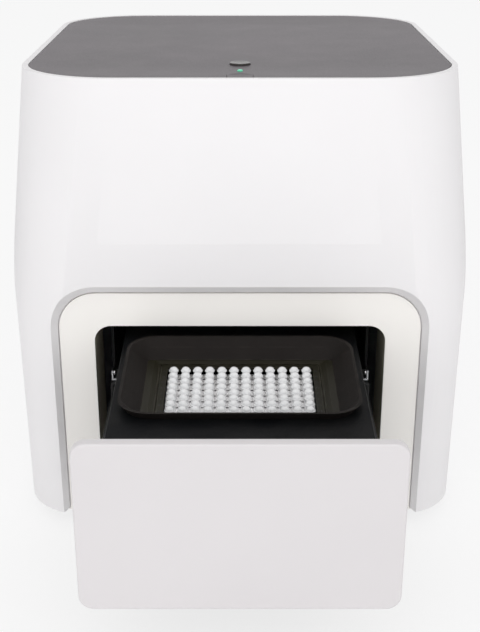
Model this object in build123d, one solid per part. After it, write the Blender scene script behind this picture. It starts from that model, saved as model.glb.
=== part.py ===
from build123d import *
import math
import os

os.makedirs("parts", exist_ok=True)

# A bench real-time PCR instrument, drawn with its drawer open. Millimetres, +Z up, front towards -Y.
# Y = 0 lies midway between the open door's front and the rear of the housing.

# Housing
ARCH_SIDE = 35.0
REAR_STEP = 5.0
SIDE_DRAFT_DEG = 0.6
LOWER_RADIUS = 46.0
TOP_INSET = 9.5
TOP_DEPTH = 376.0
TOP_HEIGHT = 365.5
TOP_SETBACK = 14.0
TOP_FALL_DEG = 3.5
SIDE_LEAN_DEG = 5.7
FRONT_LEAN_DEG = 3.2
REAR_LEAN_DEG = 6.2
UPPER_RADIUS = 73.0
FOOT_HEIGHT = 12.0
SHELL_WALL = 3.5
RIM_WIDTH = 4.5
LEDGE_WIDTH = 8.0
LEDGE_THICKNESS = 5.0
FLOOR_FLANGE = 20.0

# Top panel and its controls, placed from the rim's front edge along the sloping top
PANEL_SEAT = 4.0
PANEL_DROP = 0.2
PANEL_GAP = 0.6
POWER_BUTTON_RADIUS = 8.0
POWER_BUTTON_BACK = 76.0
LIGHT_RADIUS = 2.0
LIGHT_SIDES = 12
LIGHT_BACK = 41.0
DRAWER_BUTTON_WIDTH = 19.2
DRAWER_BUTTON_SIDE = 11.0
DRAWER_BUTTON_DEPTH = 20.0
BUTTON_GAP = 0.25
BUTTON_THICKNESS = 2.6
BUTTON_TRAVEL = 0.8
STEM_GAP = 0.15
DRAWER_BUTTON_INSET = 1.5
DRAWER_STEM_INSET = 4.5
STEM_WIDTH = 3.0
SWITCH_SIZE = 7.0
SWITCH_HEIGHT = 4.0
CONTROL_BOARD_DROP = 13.0
BOARD_THICKNESS = 1.6
CONTROL_BOARD_WIDTH = 44.0
CONTROL_BOARD_LENGTH = 78.0
BOSS_WIDTH = 4.0

# Arch in the housing's front and the fascia inside it
FASCIA_SETBACK = 7.0
FASCIA_THICKNESS = 3.0
FASCIA_SIDE = 27.75
FASCIA_RISE = 28.0
ARCH_RADIUS = 30.0
ARCH_FLARE = 4.0
ARCH_CHAMFER = 7.0
ARCH_SEAT = 5.0
SEAT_THICKNESS = 2.5
SEAM_GAP = 1.0
OPENING_RADIUS = 13.0
TUNNEL_DEPTH = 55.0
TUNNEL_WALL = 2.0
TUNNEL_FLANGE = 8.0
TUNNEL_STEP = 0.5

# Drawer
DRAWER_TRAVEL = 177.0
DOOR_LAP = 19.75
DOOR_RISE = 4.0
DOOR_THICKNESS = 7.5
DOOR_BOTTOM = 45.0
DOOR_RADIUS = 10.5
DOOR_EDGE = 1.2
DOOR_SIDE_GAP = 2.25
DOOR_TOP_GAP = 3.0
DOOR_BOTTOM_GAP = 2.5
CARRIER_WIDTH = 150.0
CARRIER_THICKNESS = 3.0
COVER_BORDER = 5.25
COVER_RISE = 7.0
COVER_WALL = 2.0
COVER_THICKNESS = 2.5
COVER_SKIRT = 15.0
COVER_REACH = 30.0
COVER_EDGE = 1.5
SKIRT_GAP = 0.5
TRAY_FLOOR = 56.0
TRAY_WALL = 2.0
TRAY_REAR_HEIGHT = 54.0

# Sample block, counted from the plate's 9 mm grid
WELL_PITCH = 9.0
COLUMNS = 12
ROWS = 8
ROW_A_REACH = 33.8
BLOCK_BORDER = 4.5
BLOCK_HEIGHT = 14.6
WELL_RADIUS = 2.4
WELL_DEPTH = 12.0
WELL_SIDES = 5
CAP_SIDES = 6
TUBE_RADIUS = 2.9
TUBE_RISE = 8.0
FRAME_RISE = 6.4
FRAME_THICKNESS = 5.0
FRAME_GAP = 1.5
FRAME_BORDER_SIDE = 20.0
FRAME_BORDER_END = 17.0
FRAME_POST = 8.0
GROOVE_WIDTH = 1.2
GROOVE_DEPTH = 1.0
GROOVE_REACH = 5.0
RIM_BORDER_SIDE = 15.0
RIM_BORDER_END = 16.0
RIM_RISE = 6.0
RIM_RADIUS = 25.0
RIM_FLARE = 3.5
FUNNEL_BORDER_SIDE = 15.5
FUNNEL_BORDER_END = 11.0
FUNNEL_RADIUS = 14.0
FUNNEL_SPREAD = 6.5
RIM_STEM = 5.5
WINDOW_GAP = 1.0
PELTIER_SIZE = 34.0
PELTIER_THICKNESS = 3.8
PELTIER_GAP = 2.0
SINK_BASE = 7.0
SINK_BORDER = 17.0
FIN_HEIGHT = 38.0
FIN_GAP = 7.7
FIN_THICKNESS = 1.6
FIN_PITCH = 7.0
SINK_BRACKET = 3.0
SINK_BRACKET_LENGTH = 80.0
SINK_BRACKET_DROP = 14.0

# Drawer slides
SLIDE_LENGTH = 230.0
SLIDE_START = 20.0
SLIDE_HEIGHT = 35.0
SLIDE_SHEET = 1.5
SLIDE_CLEARANCE = 0.3
SLIDE_WEB_GAP = 0.5
SLIDE_CENTRE = 100.0
SLIDE_THICKNESS = 16.25
SLIDE_LIP = 4.0

# Rack and pinion
GEAR_MODULE = 1.5
PINION_TEETH = 18
PRESSURE_ANGLE_DEG = 20.0
DEDENDUM = 1.25
BACKLASH = 0.12
GEAR_WIDTH = 8.0
RACK_X = 40.0
RACK_BACK = 4.6
RACK_OVERRUN = 12.0
PINION_SHAFT_RADIUS = 2.5

# Small stepper motor, used four times
MOTOR_SIZE = 28.2
MOTOR_LENGTH = 30.0
MOTOR_GAP = 0.3
MOTOR_PLATE = 2.0
PINION_SHAFT = 7.0

# Heated lid
HEATER_LENGTH = 118.0
HEATER_BREADTH = 84.0
HEATER_THICKNESS = 6.0
HEATER_SLOT = 5.0
LID_LIFT = 13.5
LID_TOUCH_GAP = 0.1
INSULATOR_THICKNESS = 8.0
INSULATOR_INSET = 3.0
LID_CARRIER_LENGTH = 192.0
LID_TUNNEL_GAP = 1.5
LID_CARRIER_THICKNESS = 5.0
LIGHT_WINDOW_LENGTH = 106.0
LIGHT_WINDOW_BREADTH = 68.0
GUIDE_RADIUS = 4.0
GUIDE_SPACING_X = 172.0
GUIDE_CLEARANCE = 0.05
GUIDE_RIM_GAP = 1.6
LID_SCREW_RADIUS = 3.0
LID_SCREW_BACK = 72.0
LID_TONGUE_WIDTH = 28.0
NUT_SIZE = 16.0
NUT_HEIGHT = 12.0

# Optics
DECK_GAP = 34.8
DECK_THICKNESS = 3.0
DECK_MARGIN = 24.5
SIDE_PLATE = 2.0
SIDE_FLANGE = 12.0
SIDE_WINDOW_HEIGHT = 70.0
SIDE_WINDOW_BAR = 20.0
RAIL_WIDTH = 9.0
RAIL_HEIGHT = 14.0
RAIL_ENGAGEMENT = 5.0
RAIL_SPACING = 86.0
END_BRACKET_X = 88.0
END_BRACKET_THICKNESS = 8.0
END_BRACKET_LENGTH = 104.0
END_BRACKET_HEIGHT = 46.0
CARRIAGE_WIDTH = 32.0
CARRIAGE_LENGTH = 104.0
CARRIAGE_HEIGHT = 24.0
SCAN_SCREW_RADIUS = 3.0
LENS_RADIUS = 3.2
LENS_SIDES = 8
LENS_BAR_WIDTH = 12.0
LENS_BAR_HEIGHT = 7.0
LENS_HEIGHT = 1.2
LIGHT_MODULE_HEIGHT = 16.0
LIGHT_MODULE_WIDTH = 28.0
LIGHT_MODULE_LENGTH = 60.0
LIGHT_MODULE_FIN = 2.0
LIGHT_MODULE_PITCH = 5.0
WHEEL_RADIUS = 28.0
WHEEL_SIDES = 24
WHEEL_THICKNESS = 3.0
WHEEL_FILTERS = 6
FILTER_SIZE = 11.0
FILTER_CIRCLE = 18.0
WHEEL_OFFSET = 25.0
WHEEL_RISE = 33.0
WHEEL_GAP = 2.0
DETECTOR_LENGTH = 18.0
DETECTOR_BREADTH = 56.0
DETECTOR_HEIGHT = 62.0

# Fans
BLOCK_FAN_SIZE = 92.0
BLOCK_FAN_DEPTH = 25.0
REAR_FAN_SIZE = 80.0
REAR_FAN_DEPTH = 25.0
FAN_RIM = 3.0
FAN_HUB_RADIUS = 18.0
FAN_BORE_SIDES = 24
FAN_TIP_GAP = 1.0
FAN_PLATE = 3.0
FAN_RUN_GAP = 0.3
FAN_STRUT = 4.0
FAN_BLADES = 7
FAN_BLADE_THICKNESS = 1.6
FAN_BLADE_ANGLE_DEG = 38.0
FAN_BLADE_ROOT = 1.0

# Base, rear panel and electronics
BASE_INSET = 13.0
BASE_THICKNESS = 2.5
AIR_SLOTS = 5
AIR_SLOT_PITCH = 12.0
AIR_SLOT_WIDTH = 6.0
AIR_SLOT_LENGTH = 70.0
FOOT_RADIUS = 12.0
FOOT_SIDES = 16
FOOT_INSET_X = 57.0
FOOT_INSET_Y = 52.0
REAR_PANEL_SIDE = 68.5
REAR_PANEL_TOP_GAP = 4.65
REAR_PANEL_BOTTOM = 29.0
REAR_PANEL_THICKNESS = 2.0
REAR_PANEL_LAP = 6.0
REAR_FAN_X = -50.0
REAR_FAN_DROP = 49.0
GRILLE_RADIUS = 35.0
GRILLE_SLOT = 4.0
GRILLE_PITCH = 9.0
GRILLE_BAR = 6.0
ENTRY_X = 58.0
ENTRY_HEIGHT = 76.0
ENTRY_WIDTH = 52.0
ENTRY_BREADTH = 28.0
ENTRY_FLANGE = 2.0
ENTRY_LAP = 2.0
ENTRY_GAP = 0.2
ENTRY_DEPTH = 25.0
SOCKET_WIDTH = 24.0
SOCKET_BREADTH = 16.0
SOCKET_DEPTH = 16.0
SOCKET_X = -11.0
PIN_WIDTH = 4.0
PIN_THICKNESS = 2.0
PIN_LENGTH = 11.0
PIN_SPACING = 7.0
ROCKER_X = 14.0
ROCKER_WIDTH = 12.0
ROCKER_BREADTH = 20.0
ROCKER_GAP = 0.4
ROCKER_POCKET = 12.0
ROCKER_ANGLE_DEG = 8.0
ROCKER_DEPTH = 7.6
PORT_HEIGHT = 52.0
USB_X = -70.0
NETWORK_X = -42.0
PORT_SHELL = 1.2
NETWORK_WIDTH = 16.0
NETWORK_BREADTH = 14.0
USB_WIDTH = 12.0
USB_BREADTH = 11.0
PORT_DEPTH = 14.0
PORT_GAP = 0.3
BOARD_LENGTH = 104.0
BOARD_WIDTH = 120.0
BOARD_X = -52.0
BOARD_MARGIN = 1.0
STAND_OFF_RADIUS = 3.0
BOARD_BLOCKS = ((-20, -10, 24, 2.2), (24, -12, 16, 1.8), (30, 18, 12, 9.0), (-36, 8, 10, 6.0))
SUPPLY_WIDTH = 86.0
SUPPLY_LENGTH = 98.0
SUPPLY_HEIGHT = 34.0
SUPPLY_X = 58.0
SUPPLY_GAP = 6.0
SCREW_HEAD_RADIUS = 3.0
SCREW_HEAD_HEIGHT = 1.5
SMALL_SIDES = 6

# Heights of the drawer's stack, from the tray's floor up to the rim and the door
SINK_BOTTOM = TRAY_FLOOR + TRAY_WALL + BLOCK_FAN_DEPTH + FIN_GAP + FIN_HEIGHT - SINK_BASE / 2
SINK_TOP = SINK_BOTTOM + SINK_BASE
BLOCK_BOTTOM = SINK_TOP + PELTIER_THICKNESS
BLOCK_TOP = BLOCK_BOTTOM + BLOCK_HEIGHT
TUBE_TOP = BLOCK_TOP + TUBE_RISE
FRAME_TOP = BLOCK_TOP + FRAME_RISE
COVER_TOP = FRAME_TOP + COVER_RISE
RIM_TOP = COVER_TOP + RIM_RISE
DOOR_HEIGHT = RIM_TOP + DOOR_RISE - DOOR_BOTTOM
OPENING_BOTTOM = DOOR_BOTTOM - DOOR_BOTTOM_GAP
OPENING_HEIGHT = DOOR_HEIGHT + DOOR_TOP_GAP + DOOR_BOTTOM_GAP
OPENING_CENTRE = OPENING_BOTTOM + OPENING_HEIGHT / 2
ARCH_TOP = OPENING_BOTTOM + OPENING_HEIGHT + FASCIA_RISE

# Widths, from the sample block out to the housing
BLOCK_LENGTH = (COLUMNS - 1) * WELL_PITCH + 2 * BLOCK_BORDER
BLOCK_BREADTH = (ROWS - 1) * WELL_PITCH + 2 * BLOCK_BORDER
FUNNEL_LENGTH = BLOCK_LENGTH + 2 * FUNNEL_BORDER_SIDE
FUNNEL_BREADTH = BLOCK_BREADTH + 2 * FUNNEL_BORDER_END
STEM_LENGTH = FUNNEL_LENGTH + 2 * RIM_STEM
STEM_BREADTH = FUNNEL_BREADTH + 2 * RIM_STEM
STEM_CORNER = FUNNEL_RADIUS + RIM_STEM
RIM_LENGTH = FUNNEL_LENGTH + 2 * RIM_BORDER_SIDE
RIM_BREADTH = FUNNEL_BREADTH + 2 * RIM_BORDER_END
COVER_WIDTH = RIM_LENGTH + 2 * COVER_BORDER
TRAY_HALF = COVER_WIDTH / 2 - COVER_WALL - SKIRT_GAP
DOOR_WIDTH = COVER_WIDTH + 2 * DOOR_LAP
OPENING_WIDTH = DOOR_WIDTH + 2 * DOOR_SIDE_GAP
ARCH_WIDTH = OPENING_WIDTH + 2 * FASCIA_SIDE
FOOT_WIDTH = ARCH_WIDTH + 2 * ARCH_SIDE
TOP_WIDTH = FOOT_WIDTH - 2 * TOP_INSET
DECK_WIDTH = FOOT_WIDTH - 2 * DECK_MARGIN
REAR_PANEL_WIDTH = FOOT_WIDTH - 2 * REAR_PANEL_SIDE

# Planes that several pieces share
BODY_DEPTH = TOP_DEPTH + TOP_SETBACK + REAR_STEP
FASCIA_Y = (DRAWER_TRAVEL - (BODY_DEPTH - FASCIA_SETBACK)) / 2
FRONT_Y = FASCIA_Y - FASCIA_SETBACK
REAR_Y = FRONT_Y + BODY_DEPTH
DOOR_Y = FASCIA_Y - DRAWER_TRAVEL
DOOR_BACK_Y = DOOR_Y + DOOR_THICKNESS
TUNNEL_Y = FASCIA_Y + FASCIA_THICKNESS
TUNNEL_END_Y = TUNNEL_Y + TUNNEL_DEPTH
FLANGE_TOP = FOOT_HEIGHT + SHELL_WALL
BASE_TOP = FLANGE_TOP + BASE_THICKNESS
TRAY_FRONT_Y = DOOR_BACK_Y + CARRIER_THICKNESS
COVER_FRONT_Y = TRAY_FRONT_Y - SKIRT_GAP - COVER_WALL / 2
COVER_REAR_Y = FASCIA_Y + COVER_REACH
PINION_Y = TUNNEL_END_Y + MOTOR_SIZE / 2 + TUNNEL_WALL
TRAY_REAR_Y = PINION_Y + RACK_OVERRUN + TRAY_WALL
BLOCK_Y = FASCIA_Y - ROW_A_REACH - (ROWS - 1) * WELL_PITCH / 2
SINK_LENGTH = BLOCK_LENGTH + 2 * SINK_BORDER
SINK_BREADTH = BLOCK_BREADTH + 2 * SINK_BORDER
FIXED_SLIDE_FACE = TRAY_HALF + SLIDE_THICKNESS
FIXED_SLIDE_Y = FASCIA_Y + SLIDE_START
PITCH_RADIUS = GEAR_MODULE * PINION_TEETH / 2
RACK_PITCH_HEIGHT = TRAY_FLOOR - RACK_BACK - DEDENDUM * GEAR_MODULE
PINION_HEIGHT = RACK_PITCH_HEIGHT - PITCH_RADIUS
DRIVE_MOTOR_X = RACK_X + GEAR_WIDTH / 2 + PINION_SHAFT + MOTOR_GAP
LID_Y = BLOCK_Y + DRAWER_TRAVEL
LID_CARRIER_BREADTH = 2 * (LID_Y - TUNNEL_END_Y - LID_TUNNEL_GAP)
HEATER_BOTTOM = TUBE_TOP + LID_TOUCH_GAP + LID_LIFT
HEATER_TOP = HEATER_BOTTOM + HEATER_THICKNESS
LID_CARRIER_BOTTOM = HEATER_TOP + INSULATOR_THICKNESS
LID_CARRIER_TOP = LID_CARRIER_BOTTOM + LID_CARRIER_THICKNESS
LID_SCREW_Y = LID_Y + LID_SCREW_BACK
GUIDE_FOOT = RIM_TOP + GUIDE_RIM_GAP
DECK_HEIGHT = LID_CARRIER_TOP + DECK_GAP
DECK_TOP = DECK_HEIGHT + DECK_THICKNESS
SIDE_PLATE_Y = TUNNEL_END_Y + SIDE_PLATE
SIDE_PLATE_REAR_Y = FIXED_SLIDE_Y + SLIDE_LENGTH + SIDE_FLANGE
CARRIAGE_BOTTOM = DECK_TOP + RAIL_HEIGHT - RAIL_ENGAGEMENT
CARRIAGE_TOP = CARRIAGE_BOTTOM + CARRIAGE_HEIGHT
SCAN_HEIGHT = CARRIAGE_BOTTOM + CARRIAGE_HEIGHT / 2
BRACKET_END_X = END_BRACKET_X + END_BRACKET_THICKNESS
WHEEL_X = -(BRACKET_END_X + MOTOR_LENGTH + MOTOR_GAP)
WHEEL_Y = LID_Y - WHEEL_OFFSET
WHEEL_HEIGHT = DECK_TOP + WHEEL_RISE
PANEL_Y = REAR_Y - SHELL_WALL
PANEL_INNER_Y = PANEL_Y - REAR_PANEL_THICKNESS
ENTRY_MOUTH_Y = PANEL_Y + ENTRY_FLANGE
BOARD_HEIGHT = PORT_HEIGHT - NETWORK_BREADTH / 2 - BOARD_THICKNESS
BOARD_Y = PANEL_INNER_Y - BOARD_LENGTH / 2 - BOARD_MARGIN
PORTS = ((NETWORK_X, NETWORK_WIDTH, NETWORK_BREADTH), (USB_X, USB_WIDTH, USB_BREADTH))
DRAWER_BUTTON_BACK = RIM_WIDTH + DRAWER_BUTTON_INSET
DRAWER_STEM_BACK = DRAWER_BUTTON_BACK + DRAWER_BUTTON_DEPTH - DRAWER_STEM_INSET
CONTROL_BOARD_FRONT = DRAWER_STEM_BACK - SWITCH_SIZE / 2 - BOARD_MARGIN
CONTROL_BOARD_BACK = CONTROL_BOARD_FRONT + CONTROL_BOARD_LENGTH / 2
TOP_FRAME = Pos(0, FRONT_Y + TOP_SETBACK, TOP_HEIGHT) * Rot(-TOP_FALL_DEG, 0, 0)

# Where the upright rear wall meets the leaning one, and the rear panel below that crease
TOP_FALL = math.radians(TOP_FALL_DEG)
REAR_LEAN = math.tan(math.radians(REAR_LEAN_DEG))
REAR_OVERHANG = BODY_DEPTH - TOP_SETBACK - TOP_DEPTH * math.cos(TOP_FALL)
CREASE_DROP = REAR_OVERHANG / (REAR_LEAN * math.cos(TOP_FALL) - math.sin(TOP_FALL))
CREASE_BACK = TOP_DEPTH + CREASE_DROP * REAR_LEAN
REAR_CREASE = TOP_HEIGHT - CREASE_BACK * math.sin(TOP_FALL) - CREASE_DROP * math.cos(TOP_FALL)
REAR_PANEL_TOP = REAR_CREASE - REAR_PANEL_TOP_GAP
REAR_PANEL_HEIGHT = REAR_PANEL_TOP - REAR_PANEL_BOTTOM
REAR_PANEL_CENTRE = REAR_PANEL_BOTTOM + REAR_PANEL_HEIGHT / 2
REAR_FAN_HEIGHT = REAR_PANEL_TOP - REAR_FAN_DROP
BLOCK_FAN_PLACE = Pos(0, BLOCK_Y, TRAY_FLOOR + TRAY_WALL)
REAR_FAN_PLACE = Pos(REAR_FAN_X, PANEL_INNER_Y, REAR_FAN_HEIGHT) * Rot(90, 0, 0)


def block(x, y, z):
    """A box between the two ends given for each direction."""
    size = [end - start for start, end in (x, y, z)]
    centre = [(end + start) / 2 for start, end in (x, y, z)]
    return Pos(*centre) * Box(*size)


def upright(outline, y_front, y_back):
    """An outline drawn in X and Z, given thickness along Y."""
    plane = Plane((0, y_back, 0), x_dir=(1, 0, 0), z_dir=(0, -1, 0))
    return extrude(plane * outline, y_back - y_front)


def sideways(outline, x_start, x_end):
    """An outline drawn in Y and Z, given thickness along X."""
    plane = Plane((x_start, 0, 0), x_dir=(0, 1, 0), z_dir=(1, 0, 0))
    return extrude(plane * outline, x_end - x_start)


def flat(outline, z_low, z_high):
    """An outline drawn in X and Y, given thickness along Z."""
    return extrude(Pos(0, 0, z_low) * outline, z_high - z_low)


def on_top(x, back, drop_low, drop_high, outline):
    """An outline on the sloping top, given thickness between two depths below it."""
    return TOP_FRAME * Pos(x, back, -drop_low) * extrude(outline, drop_low - drop_high)


def rounded(width, height, radius):
    """A rectangle with round corners."""
    return RectangleRounded(width, height, radius)


def along_x(radius, x, y, z):
    """A round bar along X between the two ends given in x."""
    return sideways(Pos(y, z) * Circle(radius), *x)


def along_z(radius, x, y, z):
    """A round bar along Z between the two ends given in z."""
    return flat(Pos(x, y) * Circle(radius), *z)


def both_sides(piece):
    """A piece on the right and its mirror image on the left."""
    return Compound([piece, mirror(piece, Plane.YZ)])


def four_walls(walls, low, high, radius):
    """A solid between four flat walls with round corners.

    The function walls gives the half width, the front and the rear at a height.
    """
    (half_low, front_low, rear_low), (half_high, front_high, rear_high) = walls(low), walls(high)
    front_view = [(-half_low, low), (half_low, low), (half_high, high), (-half_high, high)]
    side_view = [(front_low, low), (rear_low, low), (rear_high, high), (front_high, high)]
    solid = upright(make_face(Polyline(*front_view, close=True)), -2 * BODY_DEPTH, 2 * BODY_DEPTH)
    solid &= sideways(make_face(Polyline(*side_view, close=True)), -BODY_DEPTH, BODY_DEPTH)
    corners = [edge for edge in solid.edges() if abs((edge % 0.5).Z) > 0.5]
    return fillet(corners, radius)


def body_form(inset, low, drop):
    """The housing's form, drawn in by inset, from height low to a plane at depth drop below the sloping top.

    Upright walls with tight corners meet leaning walls with wide ones, which stand square to the top.
    """

    def lower_walls(z):
        half = FOOT_WIDTH / 2 + (z - FOOT_HEIGHT) * math.tan(math.radians(SIDE_DRAFT_DEG))
        return half - inset, FRONT_Y + inset, REAR_Y - inset

    def upper_walls(rise):
        leans = (SIDE_LEAN_DEG, FRONT_LEAN_DEG, REAR_LEAN_DEG)
        side, front, rear = [math.tan(math.radians(angle)) for angle in leans]
        return TOP_WIDTH / 2 - rise * side - inset, rise * front + inset, TOP_DEPTH - rise * rear - inset

    lower = four_walls(lower_walls, low, TOP_HEIGHT, LOWER_RADIUS - inset)
    upper = four_walls(upper_walls, -TOP_HEIGHT - FOOT_HEIGHT, -drop, UPPER_RADIUS - inset)
    return lower & (TOP_FRAME * upper)


def top_outline(inset):
    """The rim's outline on the sloping top, drawn in by inset."""
    size = (TOP_WIDTH - 2 * inset, TOP_DEPTH - 2 * inset)
    return Pos(0, TOP_DEPTH / 2) * rounded(*size, UPPER_RADIUS - inset)


def arch(grow, base):
    """The arch's outline in X and Z, grown all round, down to the base."""
    height = ARCH_TOP + grow - base
    outline = Pos(0, base + height / 2) * Rectangle(ARCH_WIDTH + 2 * grow, height)
    return fillet(outline.vertices().group_by(Axis.Y)[-1], ARCH_RADIUS + grow)


def arch_feet(grow):
    """The outline that flares the arch outwards at its two feet."""
    outline = Pos(0, FOOT_HEIGHT + ARCH_FLARE / 2) * Rectangle(ARCH_WIDTH + 2 * ARCH_FLARE, ARCH_FLARE)
    for side in (-1, 1):
        centre = Pos(side * (ARCH_WIDTH / 2 + ARCH_FLARE), FOOT_HEIGHT + ARCH_FLARE)
        outline -= centre * Circle(ARCH_FLARE - grow)
    return outline


def opening_outline(grow):
    """The drawer opening's outline in X and Z."""
    size = (OPENING_WIDTH + 2 * grow, OPENING_HEIGHT + 2 * grow)
    return Pos(0, OPENING_CENTRE) * rounded(*size, OPENING_RADIUS + grow)


def housing_shell():
    """The moulded shell: hollow, with a ledge under the top panel and a chamfered arch in its front."""
    form = body_form(0, FOOT_HEIGHT, 0)
    shell = form - body_form(SHELL_WALL, FLANGE_TOP, PANEL_SEAT + LEDGE_THICKNESS)
    seat_y = FASCIA_Y + FASCIA_THICKNESS
    seat_back_y = seat_y + SEAT_THICKNESS
    shell += upright(arch(ARCH_CHAMFER + SHELL_WALL, FOOT_HEIGHT), FRONT_Y, seat_back_y) & form
    shell -= on_top(0, 0, PANEL_SEAT, -1, top_outline(RIM_WIDTH))
    shell -= on_top(0, 0, PANEL_SEAT + LEDGE_THICKNESS + 1, 0, top_outline(RIM_WIDTH + LEDGE_WIDTH))
    floor_size = (FOOT_WIDTH - 2 * FLOOR_FLANGE, BODY_DEPTH - 2 * FLOOR_FLANGE)
    floor_hole = rounded(*floor_size, LOWER_RADIUS - FLOOR_FLANGE)
    shell -= flat(Pos(0, (FRONT_Y + REAR_Y) / 2) * floor_hole, 0, FLANGE_TOP + 1)
    base = FOOT_HEIGHT - 2 * ARCH_CHAMFER
    mouth = Plane((0, FASCIA_Y, 0), x_dir=(1, 0, 0), z_dir=(0, -1, 0)) * arch(0, base)
    shell -= extrude(mouth, ARCH_CHAMFER + 1, taper=-45)
    shell -= upright(arch(0, base), FASCIA_Y, seat_y)
    shell -= upright(arch_feet(0), FRONT_Y, seat_y)
    shell -= upright(arch(-ARCH_SEAT, base), FASCIA_Y, seat_back_y + SHELL_WALL)
    rear_window = Rectangle(REAR_PANEL_WIDTH - 2 * REAR_PANEL_LAP, REAR_PANEL_HEIGHT - 2 * REAR_PANEL_LAP)
    return shell - upright(Pos(0, REAR_PANEL_CENTRE) * rear_window, PANEL_Y - 1, REAR_Y + 1)


def drawer_button_outline(grow):
    """The drawer button's outline: straight front and sides, and an arched back."""
    half = DRAWER_BUTTON_WIDTH / 2 + grow
    left, right = (-half, DRAWER_BUTTON_SIDE), (half, DRAWER_BUTTON_SIDE)
    sides = Polyline(left, (-half, -grow), (half, -grow), right)
    back = ThreePointArc(right, (0, DRAWER_BUTTON_DEPTH + grow), left)
    return make_face(sides + back)


def board_boss_places():
    """Places of the control board's bosses on the sloping top, as X and distance back."""
    across = CONTROL_BOARD_WIDTH / 2 - BOSS_WIDTH
    along = CONTROL_BOARD_LENGTH / 2 - BOSS_WIDTH
    return [(sx * across, CONTROL_BOARD_BACK + sy * along) for sx in (-1, 1) for sy in (-1, 1)]


def top_panel():
    panel = on_top(0, 0, PANEL_SEAT, PANEL_DROP, top_outline(RIM_WIDTH + PANEL_GAP))
    for x, back in board_boss_places():
        panel += on_top(x, back, CONTROL_BOARD_DROP, PANEL_SEAT, Rectangle(BOSS_WIDTH, BOSS_WIDTH))
    panel -= on_top(0, POWER_BUTTON_BACK, PANEL_SEAT + 1, 0, Circle(POWER_BUTTON_RADIUS + BUTTON_GAP))
    panel -= on_top(0, LIGHT_BACK, PANEL_SEAT + 1, 0, RegularPolygon(LIGHT_RADIUS + BUTTON_GAP, LIGHT_SIDES))
    return panel - on_top(0, DRAWER_BUTTON_BACK, PANEL_SEAT + 1, 0, drawer_button_outline(BUTTON_GAP))


def button(outline, back, stem_back):
    """A button cap flush with the top panel, with a stem that ends just above its switch."""
    cap_bottom = PANEL_DROP + BUTTON_THICKNESS
    cap = on_top(0, back, cap_bottom, PANEL_DROP, outline)
    stem_end = CONTROL_BOARD_DROP - SWITCH_HEIGHT - BUTTON_TRAVEL - STEM_GAP
    return cap + on_top(0, stem_back, stem_end, cap_bottom, Rectangle(STEM_WIDTH, STEM_WIDTH))


def power_button():
    return button(Circle(POWER_BUTTON_RADIUS), POWER_BUTTON_BACK, POWER_BUTTON_BACK)


def drawer_button():
    return button(drawer_button_outline(0), DRAWER_BUTTON_BACK, DRAWER_STEM_BACK)


def status_light():
    outline = RegularPolygon(LIGHT_RADIUS, LIGHT_SIDES)
    return on_top(0, LIGHT_BACK, CONTROL_BOARD_DROP, PANEL_DROP, outline)


def control_board():
    outline = Rectangle(CONTROL_BOARD_WIDTH, CONTROL_BOARD_LENGTH)
    board = on_top(0, CONTROL_BOARD_BACK, CONTROL_BOARD_DROP + BOARD_THICKNESS, CONTROL_BOARD_DROP, outline)
    switch = Rectangle(SWITCH_SIZE, SWITCH_SIZE)
    for back in (POWER_BUTTON_BACK, DRAWER_STEM_BACK):
        board += on_top(0, back, CONTROL_BOARD_DROP, CONTROL_BOARD_DROP - SWITCH_HEIGHT, switch)
    return board


def fascia():
    outline = arch(-SEAM_GAP, FOOT_HEIGHT) + arch_feet(-SEAM_GAP) - opening_outline(0)
    return upright(outline, FASCIA_Y, FASCIA_Y + FASCIA_THICKNESS)


def drawer_tunnel():
    """The sleeve behind the fascia that the drawer runs through, with a flange against the fascia."""
    flange = (OPENING_WIDTH + 2 * TUNNEL_FLANGE, OPENING_HEIGHT + 2 * TUNNEL_FLANGE)
    tube = upright(opening_outline(TUNNEL_STEP + TUNNEL_WALL), TUNNEL_Y, TUNNEL_END_Y)
    tube += upright(Pos(0, OPENING_CENTRE) * Rectangle(*flange), TUNNEL_Y, TUNNEL_Y + TUNNEL_WALL)
    return tube - upright(opening_outline(TUNNEL_STEP), TUNNEL_Y - 1, TUNNEL_END_Y + 1)


def base_plate():
    """The chassis plate on the shell's floor flange, with air slots and the main board's stand-offs."""
    outline = Rectangle(FOOT_WIDTH - 2 * BASE_INSET, BODY_DEPTH - 2 * BASE_INSET)
    outline = chamfer(outline.vertices(), LOWER_RADIUS - BASE_INSET)
    plate = flat(Pos(0, (FRONT_Y + REAR_Y) / 2) * outline, FLANGE_TOP, BASE_TOP)
    plate -= block((-FOOT_WIDTH, FOOT_WIDTH), (FRONT_Y, TUNNEL_Y + SEAT_THICKNESS + 1), (0, BASE_TOP + 1))
    for index in range(AIR_SLOTS):
        x = AIR_SLOT_PITCH * (index - AIR_SLOTS + 1.5)
        slot = Pos(x, LID_Y) * Rectangle(AIR_SLOT_WIDTH, AIR_SLOT_LENGTH)
        plate -= flat(slot, 0, BASE_TOP + 1)
    across = BOARD_WIDTH / 2 - 2 * STAND_OFF_RADIUS
    along = BOARD_LENGTH / 2 - 2 * STAND_OFF_RADIUS
    for sx in (-1, 1):
        for sy in (-1, 1):
            place = Pos(BOARD_X + sx * across, BOARD_Y + sy * along)
            plate += flat(place * RegularPolygon(STAND_OFF_RADIUS, SMALL_SIDES), BASE_TOP, BOARD_HEIGHT)
    return plate


def feet():
    rows = (FRONT_Y + FOOT_INSET_Y, REAR_Y - FOOT_INSET_Y)
    across = FOOT_WIDTH / 2 - FOOT_INSET_X
    pad = RegularPolygon(FOOT_RADIUS, FOOT_SIDES)
    return Compound([flat(Pos(sx * across, y) * pad, 0, FLANGE_TOP) for sx in (-1, 1) for y in rows])


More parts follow.
